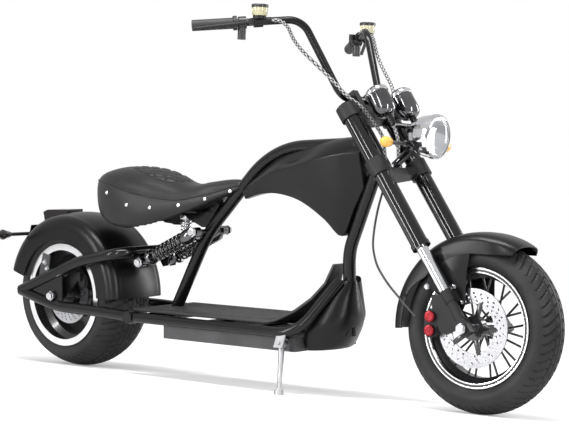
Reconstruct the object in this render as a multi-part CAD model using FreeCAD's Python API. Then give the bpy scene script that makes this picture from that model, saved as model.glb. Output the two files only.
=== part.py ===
import FreeCAD, Part
import math
import os

# Electric chopper scooter, parked on its side stand with the bars a little to the left.
# Every piece is drawn upright: X forward, Y to the rider's left, Z up, millimetres.
# The origin while drawing is on the ground, midway between the axles.
# At the end all pieces lean together onto the stand and the box centre comes to the origin.

V = FreeCAD.Vector

# Driving sizes of the whole vehicle
WHEELBASE = 1630.0
LEAN = 6.0                # degrees to the right, on the side stand
STEER = 6.3               # degrees to the left at rest
RAKE = 35.4               # degrees of the fork from upright
FIT = 0.2                 # gap of pieces that touch on a round face
RUN = 0.05                # radial clearance of a running pin

# Wheels
REAR_RADIUS = 238.0
REAR_CROWN = 150.0        # radius of the tread across the tyre
REAR_HALF = 105.0         # half the section width
FRONT_RADIUS = 240.0
FRONT_CROWN = 72.0
FRONT_HALF = 62.0
FLANGE = 166.4            # twelve inch rim, over its flanges
RIM_WALL = 4.0
TYRE_WALL = 9.0
REAR_RIM_HALF = 98.0
FRONT_RIM_HALF = 50.0
DISC_RADIUS = 110.0
REAR_DISC_RADIUS = 95.0
DISC_THICK = 4.0
FRONT_DISC_Y = -63.0
REAR_DISC_Y = -72.0
HUB_RADIUS = 78.0
REAR_HUB_HALF = 52.0
DROP_LOW = 138.0          # inside of the rims at their well
REAR_DROP_LOW = 134.0
SPOKE_PAIRS = 12
SPOKE_RADIUS = 3.2
AXLE_RADIUS = 8.0

# Fork, measured along the leg from the axle
LEG_Y = 103.0
STEM_BACK = 45.0          # steering axis behind the legs
UPPER_RADIUS = 25.0
SLIDER_RADIUS = 16.5
LOWER_RADIUS = 14.0
LOWER_TOP = 121.0
UPPER_START = 262.0
LOW_CLAMP = (507.0, 556.0)
TOP_CLAMP = (699.0, 741.0)
CLAMP_WALL = 6.0
STEM_RADIUS = 14.0
HEAD_RADIUS = 27.0

# Frame tubes
BACKBONE_RADIUS = 19.0
RAIL_RADIUS = 15.5
RAIL_Y = 150.0
RAIL_Z = 195.0
SWING_RADIUS = 18.0
SWING_Y = 138.0
PIVOT_X = -440.0

# Handlebar
BAR_RADIUS = 11.0
GRIP_RADIUS = 16.0
GRIP_LENGTH = 128.0

# Side stand
STAND_PIVOT = V(203.0, -158.0, 160.0)
STAND_RADIUS = 9.5
STAND_TIP_RADIUS = 6.5
STAND_SPLAY = 58.0        # sideways from pivot to foot
STAND_FORWARD = 42.0

rake = math.radians(RAKE)
lean = math.radians(LEAN)
steer = math.radians(STEER)
LEG = V(-math.sin(rake), 0, math.cos(rake))
AHEAD = V(math.cos(rake), 0, math.sin(rake))


def settle(centre_offset, axle, tyre, crown):
    """Height of a wheel centre, drawn upright, whose leaned tyre just meets the ground."""
    tilt = axle.z * math.cos(lean) + axle.y * math.sin(lean)
    reach = (tyre - crown) * math.sqrt(1 - tilt * tilt) + crown
    return (reach - centre_offset * math.sin(lean)) / math.cos(lean)


REAR_AXLE = V(-WHEELBASE / 2, 0, settle(0, V(0, 1, 0), REAR_RADIUS, REAR_CROWN))
turned_axle = V(-math.cos(rake) * math.sin(steer), math.cos(steer), -math.sin(rake) * math.sin(steer))
turned_side = STEM_BACK * math.sin(steer)
turned_drop = STEM_BACK * (1 - math.cos(steer)) * math.sin(rake)
FRONT_AXLE = V(WHEELBASE / 2, 0,
               settle(turned_side, turned_axle, FRONT_RADIUS, FRONT_CROWN) + turned_drop)


def on_fork(along, ahead=0.0, side=0.0):
    """A point of the fork: along the leg from the axle, ahead of the leg, to the left."""
    return FRONT_AXLE + LEG * along + AHEAD * ahead + V(0, side, 0)


# Shapes

def rod(a, b, radius):
    return Part.makeCylinder(radius, (b - a).Length, a, b - a)


def pipe(a, b, outer, inner):
    reach = (b - a).normalize()
    return rod(a, b, outer).cut(rod(a - reach, b + reach, inner))


def cone(a, b, radius_a, radius_b):
    return Part.makeCone(radius_a, radius_b, (b - a).Length, a, b - a)


def block(low, high):
    return Part.makeBox(high[0] - low[0], high[1] - low[1], high[2] - low[2], V(*low))


def spun(start, line, profile):
    """Round solid about a line, from (distance, radius) steps that begin and end on it."""
    side = line.cross(V(0, 0, 1)).normalize()
    wire = outline([start + line * along + side * radius for along, radius in profile])
    return Part.Face(wire).revolve(start, line, 360)


def union(*pieces):
    return pieces[0].fuse(list(pieces[1:]))


def mirrored(shape):
    return shape.mirror(V(0, 0, 0), V(0, 1, 0))


def both_sides(shape):
    return Part.makeCompound([shape, mirrored(shape)])


def bent_path(points, radii):
    """Straight runs joined by tangent arcs, one radius for each inner point."""
    edges = []
    start = points[0]
    for index, radius in enumerate(radii):
        corner = points[index + 1]
        back = (points[index] - corner).normalize()
        onward = (points[index + 2] - corner).normalize()
        half = back.getAngle(onward) / 2
        cut = radius / math.tan(half)
        first = corner + back * cut
        last = corner + onward * cut
        middle = corner + (back + onward).normalize() * (radius / math.sin(half) - radius)
        edges.append(Part.LineSegment(start, first).toShape())
        edges.append(Part.Arc(first, middle, last).toShape())
        start = last
    edges.append(Part.LineSegment(start, points[-1]).toShape())
    return Part.Wire(edges)


def bent_rod(points, radii, radius):
    path = bent_path(points, radii)
    ring = Part.Wire(Part.makeCircle(radius, points[0], points[1] - points[0]))
    return path.makePipeShell([ring], True, False)


def even_radii(points):
    """Arcs as large as the runs allow, for a hose."""
    radii = []
    for index in range(1, len(points) - 1):
        run = min((points[index] - points[index - 1]).Length, (points[index + 1] - points[index]).Length)
        turn = (points[index] - points[index - 1]).getAngle(points[index + 1] - points[index])
        radii.append(0.45 * run / math.tan(turn / 2))
    return radii


def outline(points):
    """Closed wire; a point written with a second one in a pair is the end of an arc through the first."""
    edges = []
    here = points[0]
    for step in points[1:]:
        if isinstance(step, tuple):
            edges.append(Part.Arc(here, step[0], step[1]).toShape())
            here = step[1]
        else:
            edges.append(Part.LineSegment(here, step).toShape())
            here = step
    if (here - points[0]).Length > 1e-6:
        edges.append(Part.LineSegment(here, points[0]).toShape())
    return Part.Wire(edges)


def side_plate(points, y_low, y_high):
    """Outline in the side view (x, z), thick from y_low to y_high."""
    wire = outline([V(x, y_low, z) for x, z in points])
    return Part.Face(wire).extrude(V(0, y_high - y_low, 0))


def wheel_ring(profile, centre, angle=360.0, start=0.0):
    """Turn a half section, given as (radius, side) points, about a wheel axle."""
    def place(pair):
        return V(centre.x + pair[0], centre.y + pair[1], centre.z)
    steps = []
    for step in profile:
        if isinstance(step[0], tuple):
            steps.append((place(step[0]), place(step[1])))
        else:
            steps.append(place(step))
    face = Part.Face(outline(steps))
    if start:
        face.rotate(centre, V(0, -1, 0), start)
    return face.revolve(centre, V(0, -1, 0), angle)


def placed_steered(shape):
    turned = shape.copy()
    turned.rotate(on_fork(0, -STEM_BACK), LEG, STEER)
    return turned


nodes = {}


def add(name, shape, steered=False):
    nodes[name] = placed_steered(shape) if steered else shape


# Wheels

def tyre(centre, radius, crown, half, rim_half):
    edge = half - 13
    drop = crown - math.sqrt(crown * crown - edge * edge)
    inner_crown = crown - TYRE_WALL
    inner_edge = edge - TYRE_WALL
    inner_drop = inner_crown - math.sqrt(inner_crown * inner_crown - inner_edge * inner_edge)
    top = radius - TYRE_WALL
    bead = rim_half - RIM_WALL - FIT
    heel = FLANGE - 9
    middle = FLANGE + (radius - drop - FLANGE) / 2
    outer = [(heel, -bead), (FLANGE + 1, -bead), ((middle, -half), (radius - drop, -edge)),
             ((radius, 0.0), (radius - drop, edge)), ((middle, half), (FLANGE + 1, bead)), (heel, bead)]
    open_heel = heel - 1
    inner_bead = bead - TYRE_WALL
    inner = [(open_heel, -inner_bead), ((middle, -half + TYRE_WALL), (top - inner_drop, -inner_edge)),
             ((top, 0.0), (top - inner_drop, inner_edge)), ((middle, half - TYRE_WALL), (open_heel, inner_bead))]
    return wheel_ring(outer, centre).cut(wheel_ring(inner, centre))


def rim_profile(rim_half, drop_radius, drop_half):
    seat = FLANGE - 9 - FIT
    under = seat - RIM_WALL
    low = drop_radius - RIM_WALL
    return [
        (FLANGE, -rim_half), (FLANGE, -rim_half + RIM_WALL), (seat, -rim_half + RIM_WALL),
        (seat, -drop_half - 12), (drop_radius, -drop_half), (drop_radius, drop_half),
        (seat, drop_half + 12), (seat, rim_half - RIM_WALL), (FLANGE, rim_half - RIM_WALL),
        (FLANGE, rim_half), (under, rim_half), (under, drop_half + 14),
        (low, drop_half + 2), (low, -drop_half - 2), (under, -drop_half - 14), (under, -rim_half),
    ]


def front_spokes():
    near_end = FRONT_DISC_Y + 3 + FIT
    hub = wheel_ring([(AXLE_RADIUS + RUN, near_end), (34, near_end), (34, -44), (24, -36), (24, 36), (34, 44),
                      (34, 56), (AXLE_RADIUS + RUN, 56)], FRONT_AXLE)
    spokes = []
    for pair in range(SPOKE_PAIRS):
        for lay in (-1, 1):
            turn = 2 * math.pi * pair / SPOKE_PAIRS
            splay = turn + lay * math.radians(8)
            foot = turn - lay * math.radians(20)
            side = lay * 30.0
            a = FRONT_AXLE + V(22 * math.cos(foot), side, 22 * math.sin(foot))
            b = FRONT_AXLE + V(141 * math.cos(splay), side * 0.3, 141 * math.sin(splay))
            spokes.append(rod(a, b, SPOKE_RADIUS))
    inside = wheel_ring([(0, -60), (DROP_LOW - FIT, -60), (DROP_LOW - FIT, 60), (0, 60)], FRONT_AXLE)
    return hub.fuse(spokes).common(inside)


def brake_disc(centre, side, radius):
    inner = radius * 0.62
    ring = wheel_ring([(inner, -DISC_THICK / 2), (radius, -DISC_THICK / 2), (radius, DISC_THICK / 2),
                       (inner, DISC_THICK / 2)], centre + V(0, side, 0))
    carrier = wheel_ring([(AXLE_RADIUS + FIT, -3), (34, -3), (34, 3), (AXLE_RADIUS + FIT, 3)],
                         centre + V(0, side, 0))
    arms = []
    for index in range(5):
        turn = 2 * math.pi * index / 5
        reach = V(math.cos(turn), 0, math.sin(turn))
        arm = block((20, side - 2.5, -9), (inner + 4, side + 2.5, 9))
        arm.rotate(V(0, 0, 0), V(0, -1, 0), math.degrees(turn))
        arm.translate(centre)
        arms.append(arm)
    return ring.fuse([carrier] + arms)


def rear_hub():
    near_end = REAR_DISC_Y + 3 + FIT
    hub = wheel_ring([(AXLE_RADIUS + RUN, near_end), (32, near_end),
                      (36, -REAR_HUB_HALF), (HUB_RADIUS - 10, -REAR_HUB_HALF),
                      (HUB_RADIUS, -REAR_HUB_HALF + 10), (HUB_RADIUS, -8), (REAR_DROP_LOW - FIT, -8),
                      (REAR_DROP_LOW - FIT, 8), (HUB_RADIUS, 8), (HUB_RADIUS, REAR_HUB_HALF - 10),
                      (HUB_RADIUS - 10, REAR_HUB_HALF), (36, REAR_HUB_HALF), (32, REAR_HUB_HALF + 14),
                      (AXLE_RADIUS + RUN, REAR_HUB_HALF + 14)], REAR_AXLE)
    return hub


add("rear_tyre", tyre(REAR_AXLE, REAR_RADIUS, REAR_CROWN, REAR_HALF, REAR_RIM_HALF))
add("rear_rim", wheel_ring(rim_profile(REAR_RIM_HALF, REAR_DROP_LOW + RIM_WALL, 40.0), REAR_AXLE))
add("rear_hub", rear_hub())
add("rear_disc", brake_disc(REAR_AXLE, REAR_DISC_Y, REAR_DISC_RADIUS))
add("front_tyre", tyre(FRONT_AXLE, FRONT_RADIUS, FRONT_CROWN, FRONT_HALF, FRONT_RIM_HALF), True)
add("front_rim", wheel_ring(rim_profile(FRONT_RIM_HALF, DROP_LOW + RIM_WALL, 14.0), FRONT_AXLE), True)
add("front_spokes", front_spokes(), True)
add("front_disc", brake_disc(FRONT_AXLE, FRONT_DISC_Y, DISC_RADIUS), True)


# Main frame

HEAD_LOW = LOW_CLAMP[1] + 2.0
HEAD_HIGH = TOP_CLAMP[0] - 2.0
backbone_end = on_fork(HEAD_HIGH - 30, -STEM_BACK - HEAD_RADIUS + 4)
BACKBONE = [V(-390, 0, 214), V(-252, 0, 456), V(28, 0, 728), backbone_end]
BACKBONE_BENDS = [480, 330]
down_start = on_fork(HEAD_LOW + 26, -STEM_BACK)
DOWN = [down_start, V(326, 0, 430), V(330, 0, 182)]
SHOCK_TOP = V(-241, 60, 466)
SHOCK_FOOT = V(-480, 60, 360)

head = pipe(on_fork(HEAD_LOW, -STEM_BACK), on_fork(HEAD_HIGH, -STEM_BACK), HEAD_RADIUS, STEM_RADIUS + RUN)
head_solid = rod(on_fork(HEAD_LOW - 40, -STEM_BACK), on_fork(HEAD_HIGH + 40, -STEM_BACK), HEAD_RADIUS + FIT)
add("head_tube", head)
backbone = bent_rod(BACKBONE, BACKBONE_BENDS, BACKBONE_RADIUS).cut(head_solid)
shock_bolt = rod(V(SHOCK_TOP.x, -78, SHOCK_TOP.z), V(SHOCK_TOP.x, 78, SHOCK_TOP.z), 7.0)
spring_shelf = block((-372, -28, 436), (-255, 28, 441))
add("backbone_tube", union(backbone, shock_bolt, spring_shelf))
down_tube = bent_rod(DOWN, [170], BACKBONE_RADIUS).cut(head_solid)
add("down_tube", down_tube)

RAIL = [V(PIVOT_X + 22, -RAIL_Y, RAIL_Z), V(252, -RAIL_Y, RAIL_Z - 2), V(322, -36, 345)]
rail = bent_rod(RAIL, [95], RAIL_RADIUS)
down_clear = bent_rod(DOWN, [170], BACKBONE_RADIUS + FIT)
rail = rail.cut(down_clear)
add("side_rail_right", rail)
add("side_rail_left", mirrored(rail))

# Pivot bush of the swing arm, cross tubes and the belly straps
rail_clear = bent_rod(RAIL, [95], RAIL_RADIUS + FIT)
backbone_clear = bent_rod(BACKBONE, BACKBONE_BENDS, BACKBONE_RADIUS + FIT)
cross = [rod(V(PIVOT_X + 45, -RAIL_Y, RAIL_Z), V(PIVOT_X + 45, RAIL_Y, RAIL_Z), 14.0)]
for station in (-240.0, -60.0, 130.0):
    cross.append(block((station - 20, -RAIL_Y + 4, 180), (station + 20, RAIL_Y - 4, 186)))
cross.append(block((-412, -60, 203), (-352, 60, 209)))
members = union(*cross).cut(rail_clear).cut(mirrored(rail_clear)).cut(backbone_clear)
add("cross_members", members.cut(rod(V(-460, 0, 91), V(-320, 0, 336), BACKBONE_RADIUS + FIT)))


# Swing arm

apex = V(-974, -SWING_Y, 248)
UPPER = [apex, V(-690, -SWING_Y, 356), V(-503, -SWING_Y, 392), V(-503, -64, 392)]
LOWER = [apex, V(-800, -SWING_Y, 206), V(-600, -SWING_Y - 8, 203), V(PIVOT_X - 20, -RAIL_Y, RAIL_Z + 2)]
upper_tube = bent_rod(UPPER, [420, 58], SWING_RADIUS)
lower_tube = bent_rod(LOWER, [420, 420], SWING_RADIUS)
gusset = side_plate([(-960, 249), (-770, 318), (-770, 222)], -SWING_Y - 4, -SWING_Y + 4)
bush = rod(V(PIVOT_X, -RAIL_Y - 19, RAIL_Z), V(PIVOT_X, -RAIL_Y + 19, RAIL_Z), 20.0)
arm = union(upper_tube, lower_tube, gusset, bush)
arm = arm.cut(rod(V(REAR_AXLE.x, -200, REAR_AXLE.z), V(REAR_AXLE.x, -100, REAR_AXLE.z), AXLE_RADIUS + FIT))
add("swing_arm_right", arm)
add("swing_arm_left", mirrored(arm))
hoop = rod(V(-503, -64 + FIT, 392), V(-503, 64 - FIT, 392), SWING_RADIUS)
lugs = []
for side in (-78.0, -46.0, 42.0, 74.0):
    lug = side_plate([(-520, 380), (-500, 404), (-466, 372), (-470, 344), (-492, 340)], side, side + 4)
    lugs.append(lug)
lug_bolts = [rod(V(SHOCK_FOOT.x, side, SHOCK_FOOT.z), V(SHOCK_FOOT.x, side + 36, SHOCK_FOOT.z), 6.0)
             for side in (-78.0, 42.0)]
arm_shadow = bent_rod(UPPER, [420, 58], SWING_RADIUS + FIT)
hoop = union(hoop, *[lug.cut(arm_shadow).cut(mirrored(arm_shadow)) for lug in lugs], *lug_bolts)
add("swing_arm_hoop", hoop)

axle = rod(V(REAR_AXLE.x, -158, REAR_AXLE.z), V(REAR_AXLE.x, 158, REAR_AXLE.z), AXLE_RADIUS)
NUT_RADIUS = 10.0
nuts = [rod(V(REAR_AXLE.x, side, REAR_AXLE.z), V(REAR_AXLE.x, side + 9, REAR_AXLE.z), NUT_RADIUS)
        for side in (-SWING_Y - 13.2, SWING_Y + 4.2)]
collars = [rod(V(REAR_AXLE.x, low, REAR_AXLE.z), V(REAR_AXLE.x, high, REAR_AXLE.z), NUT_RADIUS)
           for low, high in ((-SWING_Y + 4.2, -112.2), (-103.8, REAR_DISC_Y - 5), (REAR_HUB_HALF + 16, SWING_Y - 4.2))]
add("rear_axle", union(axle, *nuts, *collars))


# Rear fender, its stays and the lamps on it

FENDER_OUT = 268.0
FENDER_HALF = 118.0
FENDER_WALL = 3.5
SKIRT_RADIUS = 180.0


def fender_profile(out, half, wall, skirt, corner, crown):
    """Half section of a mudguard: side walls, round shoulders and a lightly crowned top."""
    def shell(top, wide, turn):
        middle = turn * (1 - math.sqrt(0.5))
        rise = top - crown
        return [(-wide, rise - turn), (-wide + middle, rise - middle), (-wide + turn, rise)]

    left = shell(out, half, corner)
    inside = shell(out - wall, half - wall, corner - wall)
    return [
        (skirt, left[0][0]), (left[0][1], left[0][0]),
        ((left[1][1], left[1][0]), (left[2][1], left[2][0])),
        ((out, 0.0), (left[2][1], -left[2][0])),
        ((left[1][1], -left[1][0]), (left[0][1], -left[0][0])),
        (skirt, -left[0][0]), (skirt, -inside[0][0]), (inside[0][1], -inside[0][0]),
        ((inside[1][1], -inside[1][0]), (inside[2][1], -inside[2][0])),
        ((out - wall, 0.0), (inside[2][1], inside[2][0])),
        ((inside[1][1], inside[1][0]), (inside[0][1], inside[0][0])),
        (skirt, inside[0][0]),
    ]


rear_fender = wheel_ring(fender_profile(FENDER_OUT, FENDER_HALF, FENDER_WALL, SKIRT_RADIUS, 40.0, 8.0), REAR_AXLE, 163.0)
add("rear_fender", rear_fender)

stay = side_plate([(-914, 268), (-862, 286), (-850, 366), (-884, 374)], -FENDER_HALF - 4.4, -FENDER_HALF - FIT)
stay = stay.cut(arm_shadow)
add("fender_stays", both_sides(stay))

fender_solid = wheel_ring([(10, -140), (FENDER_OUT + FIT, -140), (FENDER_OUT + FIT, 140), (10, 140)], REAR_AXLE)
tail_lamp = side_plate([(-975, 470), (-982, 502), (-960, 510), (-862, 513), (-862, 480)], -34, 34)
add("tail_lamp", tail_lamp.cut(fender_solid))
HOLDER_TOP = V(-1029, 0, 456)
HOLDER_FOOT = V(-1054, 0, 376)
PLATE_HOLES = 60.0
PLATE_HOLE_RADIUS = 3.0
holder_line = (HOLDER_FOOT - HOLDER_TOP).normalize()
holder_face = V(0, 1, 0).cross(holder_line)
holder_centre = (HOLDER_TOP + HOLDER_FOOT) * 0.5
corners = [HOLDER_TOP, HOLDER_FOOT, HOLDER_FOOT + holder_face * 3, HOLDER_TOP + holder_face * 3]
holder = side_plate([(corner.x, corner.z) for corner in corners], -45, 45)
for side in (-PLATE_HOLES / 2, PLATE_HOLES / 2):
    middle = holder_centre + V(0, side, 0)
    holder = holder.cut(rod(middle - holder_face * 10, middle + holder_face * 13, PLATE_HOLE_RADIUS))
arm_plate = side_plate([(-1044, 436), (-1014, 416), (-992, 446), (-1004, 462)], -14, 14)
add("plate_holder", union(holder, arm_plate).cut(fender_solid))
stalk = rod(V(-1034, -45.2, 428), V(-1020, -150, 430), 6.0)
signal_line = V(24, -74, 3).normalize()
signal = union(spun(V(-1020, -148, 430), signal_line, [(0, 0), (0, 9), (45, 17), (74, 7), (78, 0)]), stalk)
add("rear_signals", both_sides(signal.cut(holder)))


# Body shell round the backbone: (x, top, crease height, crease half width, bottom)
SHELL = [
    (-84.0, 604.0, 594.0, 18.0, 566.0),
    (20.0, 700.0, 655.0, 46.0, 584.0),
    (140.0, 744.0, 680.0, 64.0, 580.0),
    (240.0, 758.0, 698.0, 70.0, 548.0),
    (335.0, 764.0, 715.0, 62.0, 490.0),
    (392.0, 752.0, 712.0, 46.0, 590.0),
]


def shell_section(x, top, crease, half, bottom):
    low = half * 0.5
    points = [V(x, -low, bottom), V(x, -half, crease), V(x, -16, top), V(x, 16, top), V(x, half, crease),
              V(x, low, bottom), V(x, -low, bottom)]
    return Part.makePolygon(points)


shell = Part.makeLoft([shell_section(*row) for row in SHELL], True, True)
shell = shell.cut(backbone_clear).cut(down_clear).cut(head_solid)
add("body_shell", shell)


# Footboard, battery box and front cover

BOARD = 12.0
board = side_plate([(-448, 212), (170, 212), (170, 212 + BOARD), (-448, 212 + BOARD)], -130, 130)
ramp = side_plate([(170, 212), (235, 232), (268, 280), (292, 396), (280, 398), (256, 286), (226, 242),
                   (168, 212 + BOARD)], -130, 130)
wedge = Part.Face(outline([V(150, -130, 150), V(215, -130, 150), V(296, -30, 150), V(296, 30, 150),
                           V(215, 130, 150), V(150, 130, 150)])).extrude(V(0, 0, 300))
board = board.fuse(ramp.common(wedge)).removeSplitter()
board = board.cut(rail_clear).cut(mirrored(rail_clear)).cut(down_clear).cut(backbone_clear)
add("footboard", board)
add("battery_box", block((-306, -139, 138), (236, 139, 179.8)))

# (height, half width, rear edge, front)
COVER = [
    (140.0, 118.0, 243.0, 340.0),
    (180.0, 139.0, 243.0, 396.0),
    (230.0, 112.0, 262.0, 410.0),
    (290.0, 74.0, 296.0, 404.0),
    (345.0, 44.0, 306.0, 382.0),
]


def cover_section(height, half, back, front):
    bulge = back + (front - back) * 0.72
    return outline([V(back, -half, height), (V(bulge, -half * 0.68, height), V(front, 0, height)),
                    (V(bulge, half * 0.68, height), V(back, half, height))])


cover = Part.makeLoft([cover_section(*row) for row in COVER], True, False)
cover = cover.cut(down_clear).cut(rail_clear).cut(mirrored(rail_clear)).cut(board)
add("front_cover", cover)


# Seat: (x, half width, bottom, side, top)
SEAT = [
    (-738.0, 44.0, 520.0, 560.0, 588.0),
    (-690.0, 104.0, 492.0, 575.0, 634.0),
    (-600.0, 140.0, 466.0, 575.0, 656.0),
    (-480.0, 146.0, 462.0, 560.0, 650.0),
    (-360.0, 118.0, 486.0, 562.0, 624.0),
    (-240.0, 74.0, 517.0, 572.0, 602.0),
    (-150.0, 42.0, 560.0, 598.0, 628.0),
    (-84.0, 27.0, 612.0, 622.0, 636.0),
]
PAN_TOP = 528.0


def seat_section(x, half, bottom, side, top):
    low = half * 0.86
    return outline([V(x, -low, bottom), V(x, -half, side), (V(x, 0, top), V(x, half, side)), V(x, low, bottom)])


cushion = Part.makeLoft([seat_section(*row) for row in SEAT], True, True)


def seat_pan(low, high, grow):
    """The pan's outline from above, between two heights."""
    corners = [(-660 - grow, 70), (-600, 108 + grow), (-440, 108 + grow), (-300, 70 + grow), (-250 + grow, 50 + grow)]
    near = [V(x, -half, low) for x, half in corners]
    far = [V(x, half, low) for x, half in reversed(corners)]
    return Part.Face(outline(near + far)).extrude(V(0, 0, high - low))


pocket = seat_pan(300, PAN_TOP, 0.3)
pan = seat_pan(PAN_TOP - 4.3, PAN_TOP - 0.3, 0)
seat_gusset = side_plate([(-186, 548), (-200, 562), (-262, 560), (-345, PAN_TOP - 4.3), (-345, 512), (-262, 478),
                          (-244, 478)], -14, 14)
gusset_slot = side_plate([(-178, 400), (-178, 549), (-199, 562.5), (-263, 560.5), (-352, PAN_TOP), (-352, 400)],
                         -14.3, 14.3)
cushion = cushion.cut(pocket).cut(gusset_slot).cut(backbone_clear)
add("seat_cushion", cushion)
seat_gusset = seat_gusset.cut(backbone_clear)
spring_cup = rod(V(-344, 0, 441.3), V(-344, 0, 456), 22.0)
spring_body = rod(V(-344, 0, 456), V(-344, 0, 496), 14.0)
spring_head = rod(V(-344, 0, 496), V(-344, 0, 511), 19.0)
add("seat_base", union(pan, seat_gusset))
add("seat_spring", union(spring_cup, spring_body, spring_head.cut(seat_gusset)))


# Shocks

def shock(foot, top):
    line = (top - foot).normalize()
    reach = (top - foot).Length
    sideways = V(0, 1, 0)

    def eye(centre, hole):
        ring = rod(centre - sideways * 11, centre + sideways * 11, 14.0)
        return ring.cut(rod(centre - sideways * 20, centre + sideways * 20, hole + FIT))

    lower = rod(foot + line * 12, foot + line * (reach - 30), 7.0)
    body = rod(foot + line * 52, foot + line * (reach - 60), 12.0)
    collar = rod(foot + line * 40, foot + line * 52, 25.0)
    spring = pipe(foot + line * 52, foot + line * (reach - 52), 24.0, 17.0)
    cap = rod(foot + line * (reach - 52), foot + line * (reach - 12), 22.0)
    clear_top = rod(top - sideways * 40, top + sideways * 40, 13.0)
    shape = union(lower, body, collar, spring, cap.cut(clear_top), eye(foot, 6.0), eye(top, 7.0))
    hole_low = rod(foot - sideways * 40, foot + sideways * 40, 6.0 + FIT)
    hole_top = rod(top - sideways * 40, top + sideways * 40, 7.0 + FIT)
    return shape.cut(hole_low).cut(hole_top)


shock_left = shock(SHOCK_FOOT, SHOCK_TOP)
add("shock_left", shock_left)
add("shock_right", mirrored(shock_left))


# Side stand, swung out and standing on the ground

foot = STAND_PIVOT + V(STAND_FORWARD, -STAND_SPLAY, 0)
foot.z = -foot.y * math.tan(lean)
down_line = (foot - STAND_PIVOT).normalize()
folded_line = V(-1, 0, -0.02).normalize()
hinge = down_line.cross(folded_line).normalize()
if hinge.y < 0:
    hinge = hinge * -1
STAND_BOSS = 9.0
boss = rod(STAND_PIVOT - hinge * STAND_BOSS, STAND_PIVOT + hinge * STAND_BOSS, 12.0)
leg = cone(STAND_PIVOT, foot + down_line * 30, STAND_RADIUS, STAND_TIP_RADIUS)
pad = rod(foot - down_line * 12, foot + down_line * 30, 15.0)
stand = union(boss, leg, pad)
ground = Part.makeBox(600, 600, 200, V(-100, -400, -200))
ground.rotate(V(0, 0, 0), V(1, 0, 0), -LEAN)
stand = stand.cut(ground).cut(rod(STAND_PIVOT - hinge * 30, STAND_PIVOT + hinge * 30, 6.0 + RUN))
add("side_stand", stand)

ear_up = (V(0, 0, 1) - hinge * hinge.z).normalize()
across = hinge.cross(ear_up).normalize()


def stand_plate(low, high):
    """A flat ear across the hinge, from low to high along it."""
    corners = [(-17, -14), (17, -14), (17, 38), (-17, 38)]
    face = Part.Face(outline([STAND_PIVOT + hinge * low + across * a + ear_up * b for a, b in corners]))
    return face.extrude(hinge * (high - low))


ear_gap = STAND_RADIUS + 0.6
inner_ear = stand_plate(ear_gap, ear_gap + 12)
outer_ear = stand_plate(-ear_gap - 4, -ear_gap)
roof_corners = [(-17, 13.4), (17, 13.4), (17, 17), (-17, 17)]
roof_low = STAND_PIVOT - hinge * (ear_gap + 4)
roof = Part.Face(outline([roof_low + across * a + ear_up * b for a, b in roof_corners]))
roof = roof.extrude(hinge * (2 * ear_gap + 16))
pin = rod(STAND_PIVOT - hinge * (ear_gap + 8), STAND_PIVOT + hinge * (ear_gap + 6), 6.0)
bracket = union(inner_ear, outer_ear, roof, pin).cut(block((-306, -139.2, 100), (260, 100, 240)))
add("stand_bracket", bracket.cut(rail_clear))


# Fork

def on_leg(low, high, radius):
    return rod(on_fork(low, 0, -LEG_Y), on_fork(high, 0, -LEG_Y), radius)


upper = on_leg(UPPER_START, TOP_CLAMP[1] - 4, UPPER_RADIUS)
lip = on_leg(UPPER_START, UPPER_START + 14, UPPER_RADIUS + 2.5)
cap = on_leg(TOP_CLAMP[1] - 4, TOP_CLAMP[1] + 6, UPPER_RADIUS - 3)
add("fork_tubes", both_sides(union(upper, lip, cap)), True)
add("fork_sliders", both_sides(on_leg(LOWER_TOP, UPPER_START - FIT, SLIDER_RADIUS)), True)
lower = union(on_leg(10, LOWER_TOP - FIT, LOWER_RADIUS), on_leg(LOWER_TOP - 36, LOWER_TOP - FIT, LOWER_RADIUS + 2.5))
shoe = block((-16, -LEG_Y - 15, -20), (16, -LEG_Y + 14, 26))
shoe.rotate(V(0, 0, 0), V(0, 1, 0), -RAKE)
shoe.translate(FRONT_AXLE)
front_axle_hole = rod(FRONT_AXLE + V(0, -200, 0), FRONT_AXLE + V(0, 200, 0), AXLE_RADIUS + FIT)
fender_lug = block((-14, -LEG_Y + 6, 80), (18, -78.2, 112))
lug_clear = block((-14 - FIT, -LEG_Y + 6, 80 - FIT), (18 + FIT, -70, 112 + FIT))
for shape in (fender_lug, lug_clear):
    shape.rotate(V(0, 0, 0), V(0, 1, 0), -RAKE)
    shape.translate(FRONT_AXLE)
add("fork_lowers", both_sides(union(lower, shoe, fender_lug).cut(front_axle_hole)), True)
front_axle = rod(FRONT_AXLE + V(0, -LEG_Y - 22, 0), FRONT_AXLE + V(0, LEG_Y + 22, 0), AXLE_RADIUS)
bolt_heads = [rod(FRONT_AXLE + V(0, side, 0), FRONT_AXLE + V(0, side + 9, 0), 13.0)
              for side in (-LEG_Y - 24.2, LEG_Y + 15.2)]
spacers = [pipe(FRONT_AXLE + V(0, side, 0), FRONT_AXLE + V(0, side + span, 0), 14.0, AXLE_RADIUS - 0.5)
           for side, span in ((-LEG_Y + 14.2, 20.3), (57.0, 31.8))]
add("front_axle", union(front_axle, *bolt_heads, *spacers), True)


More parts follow.
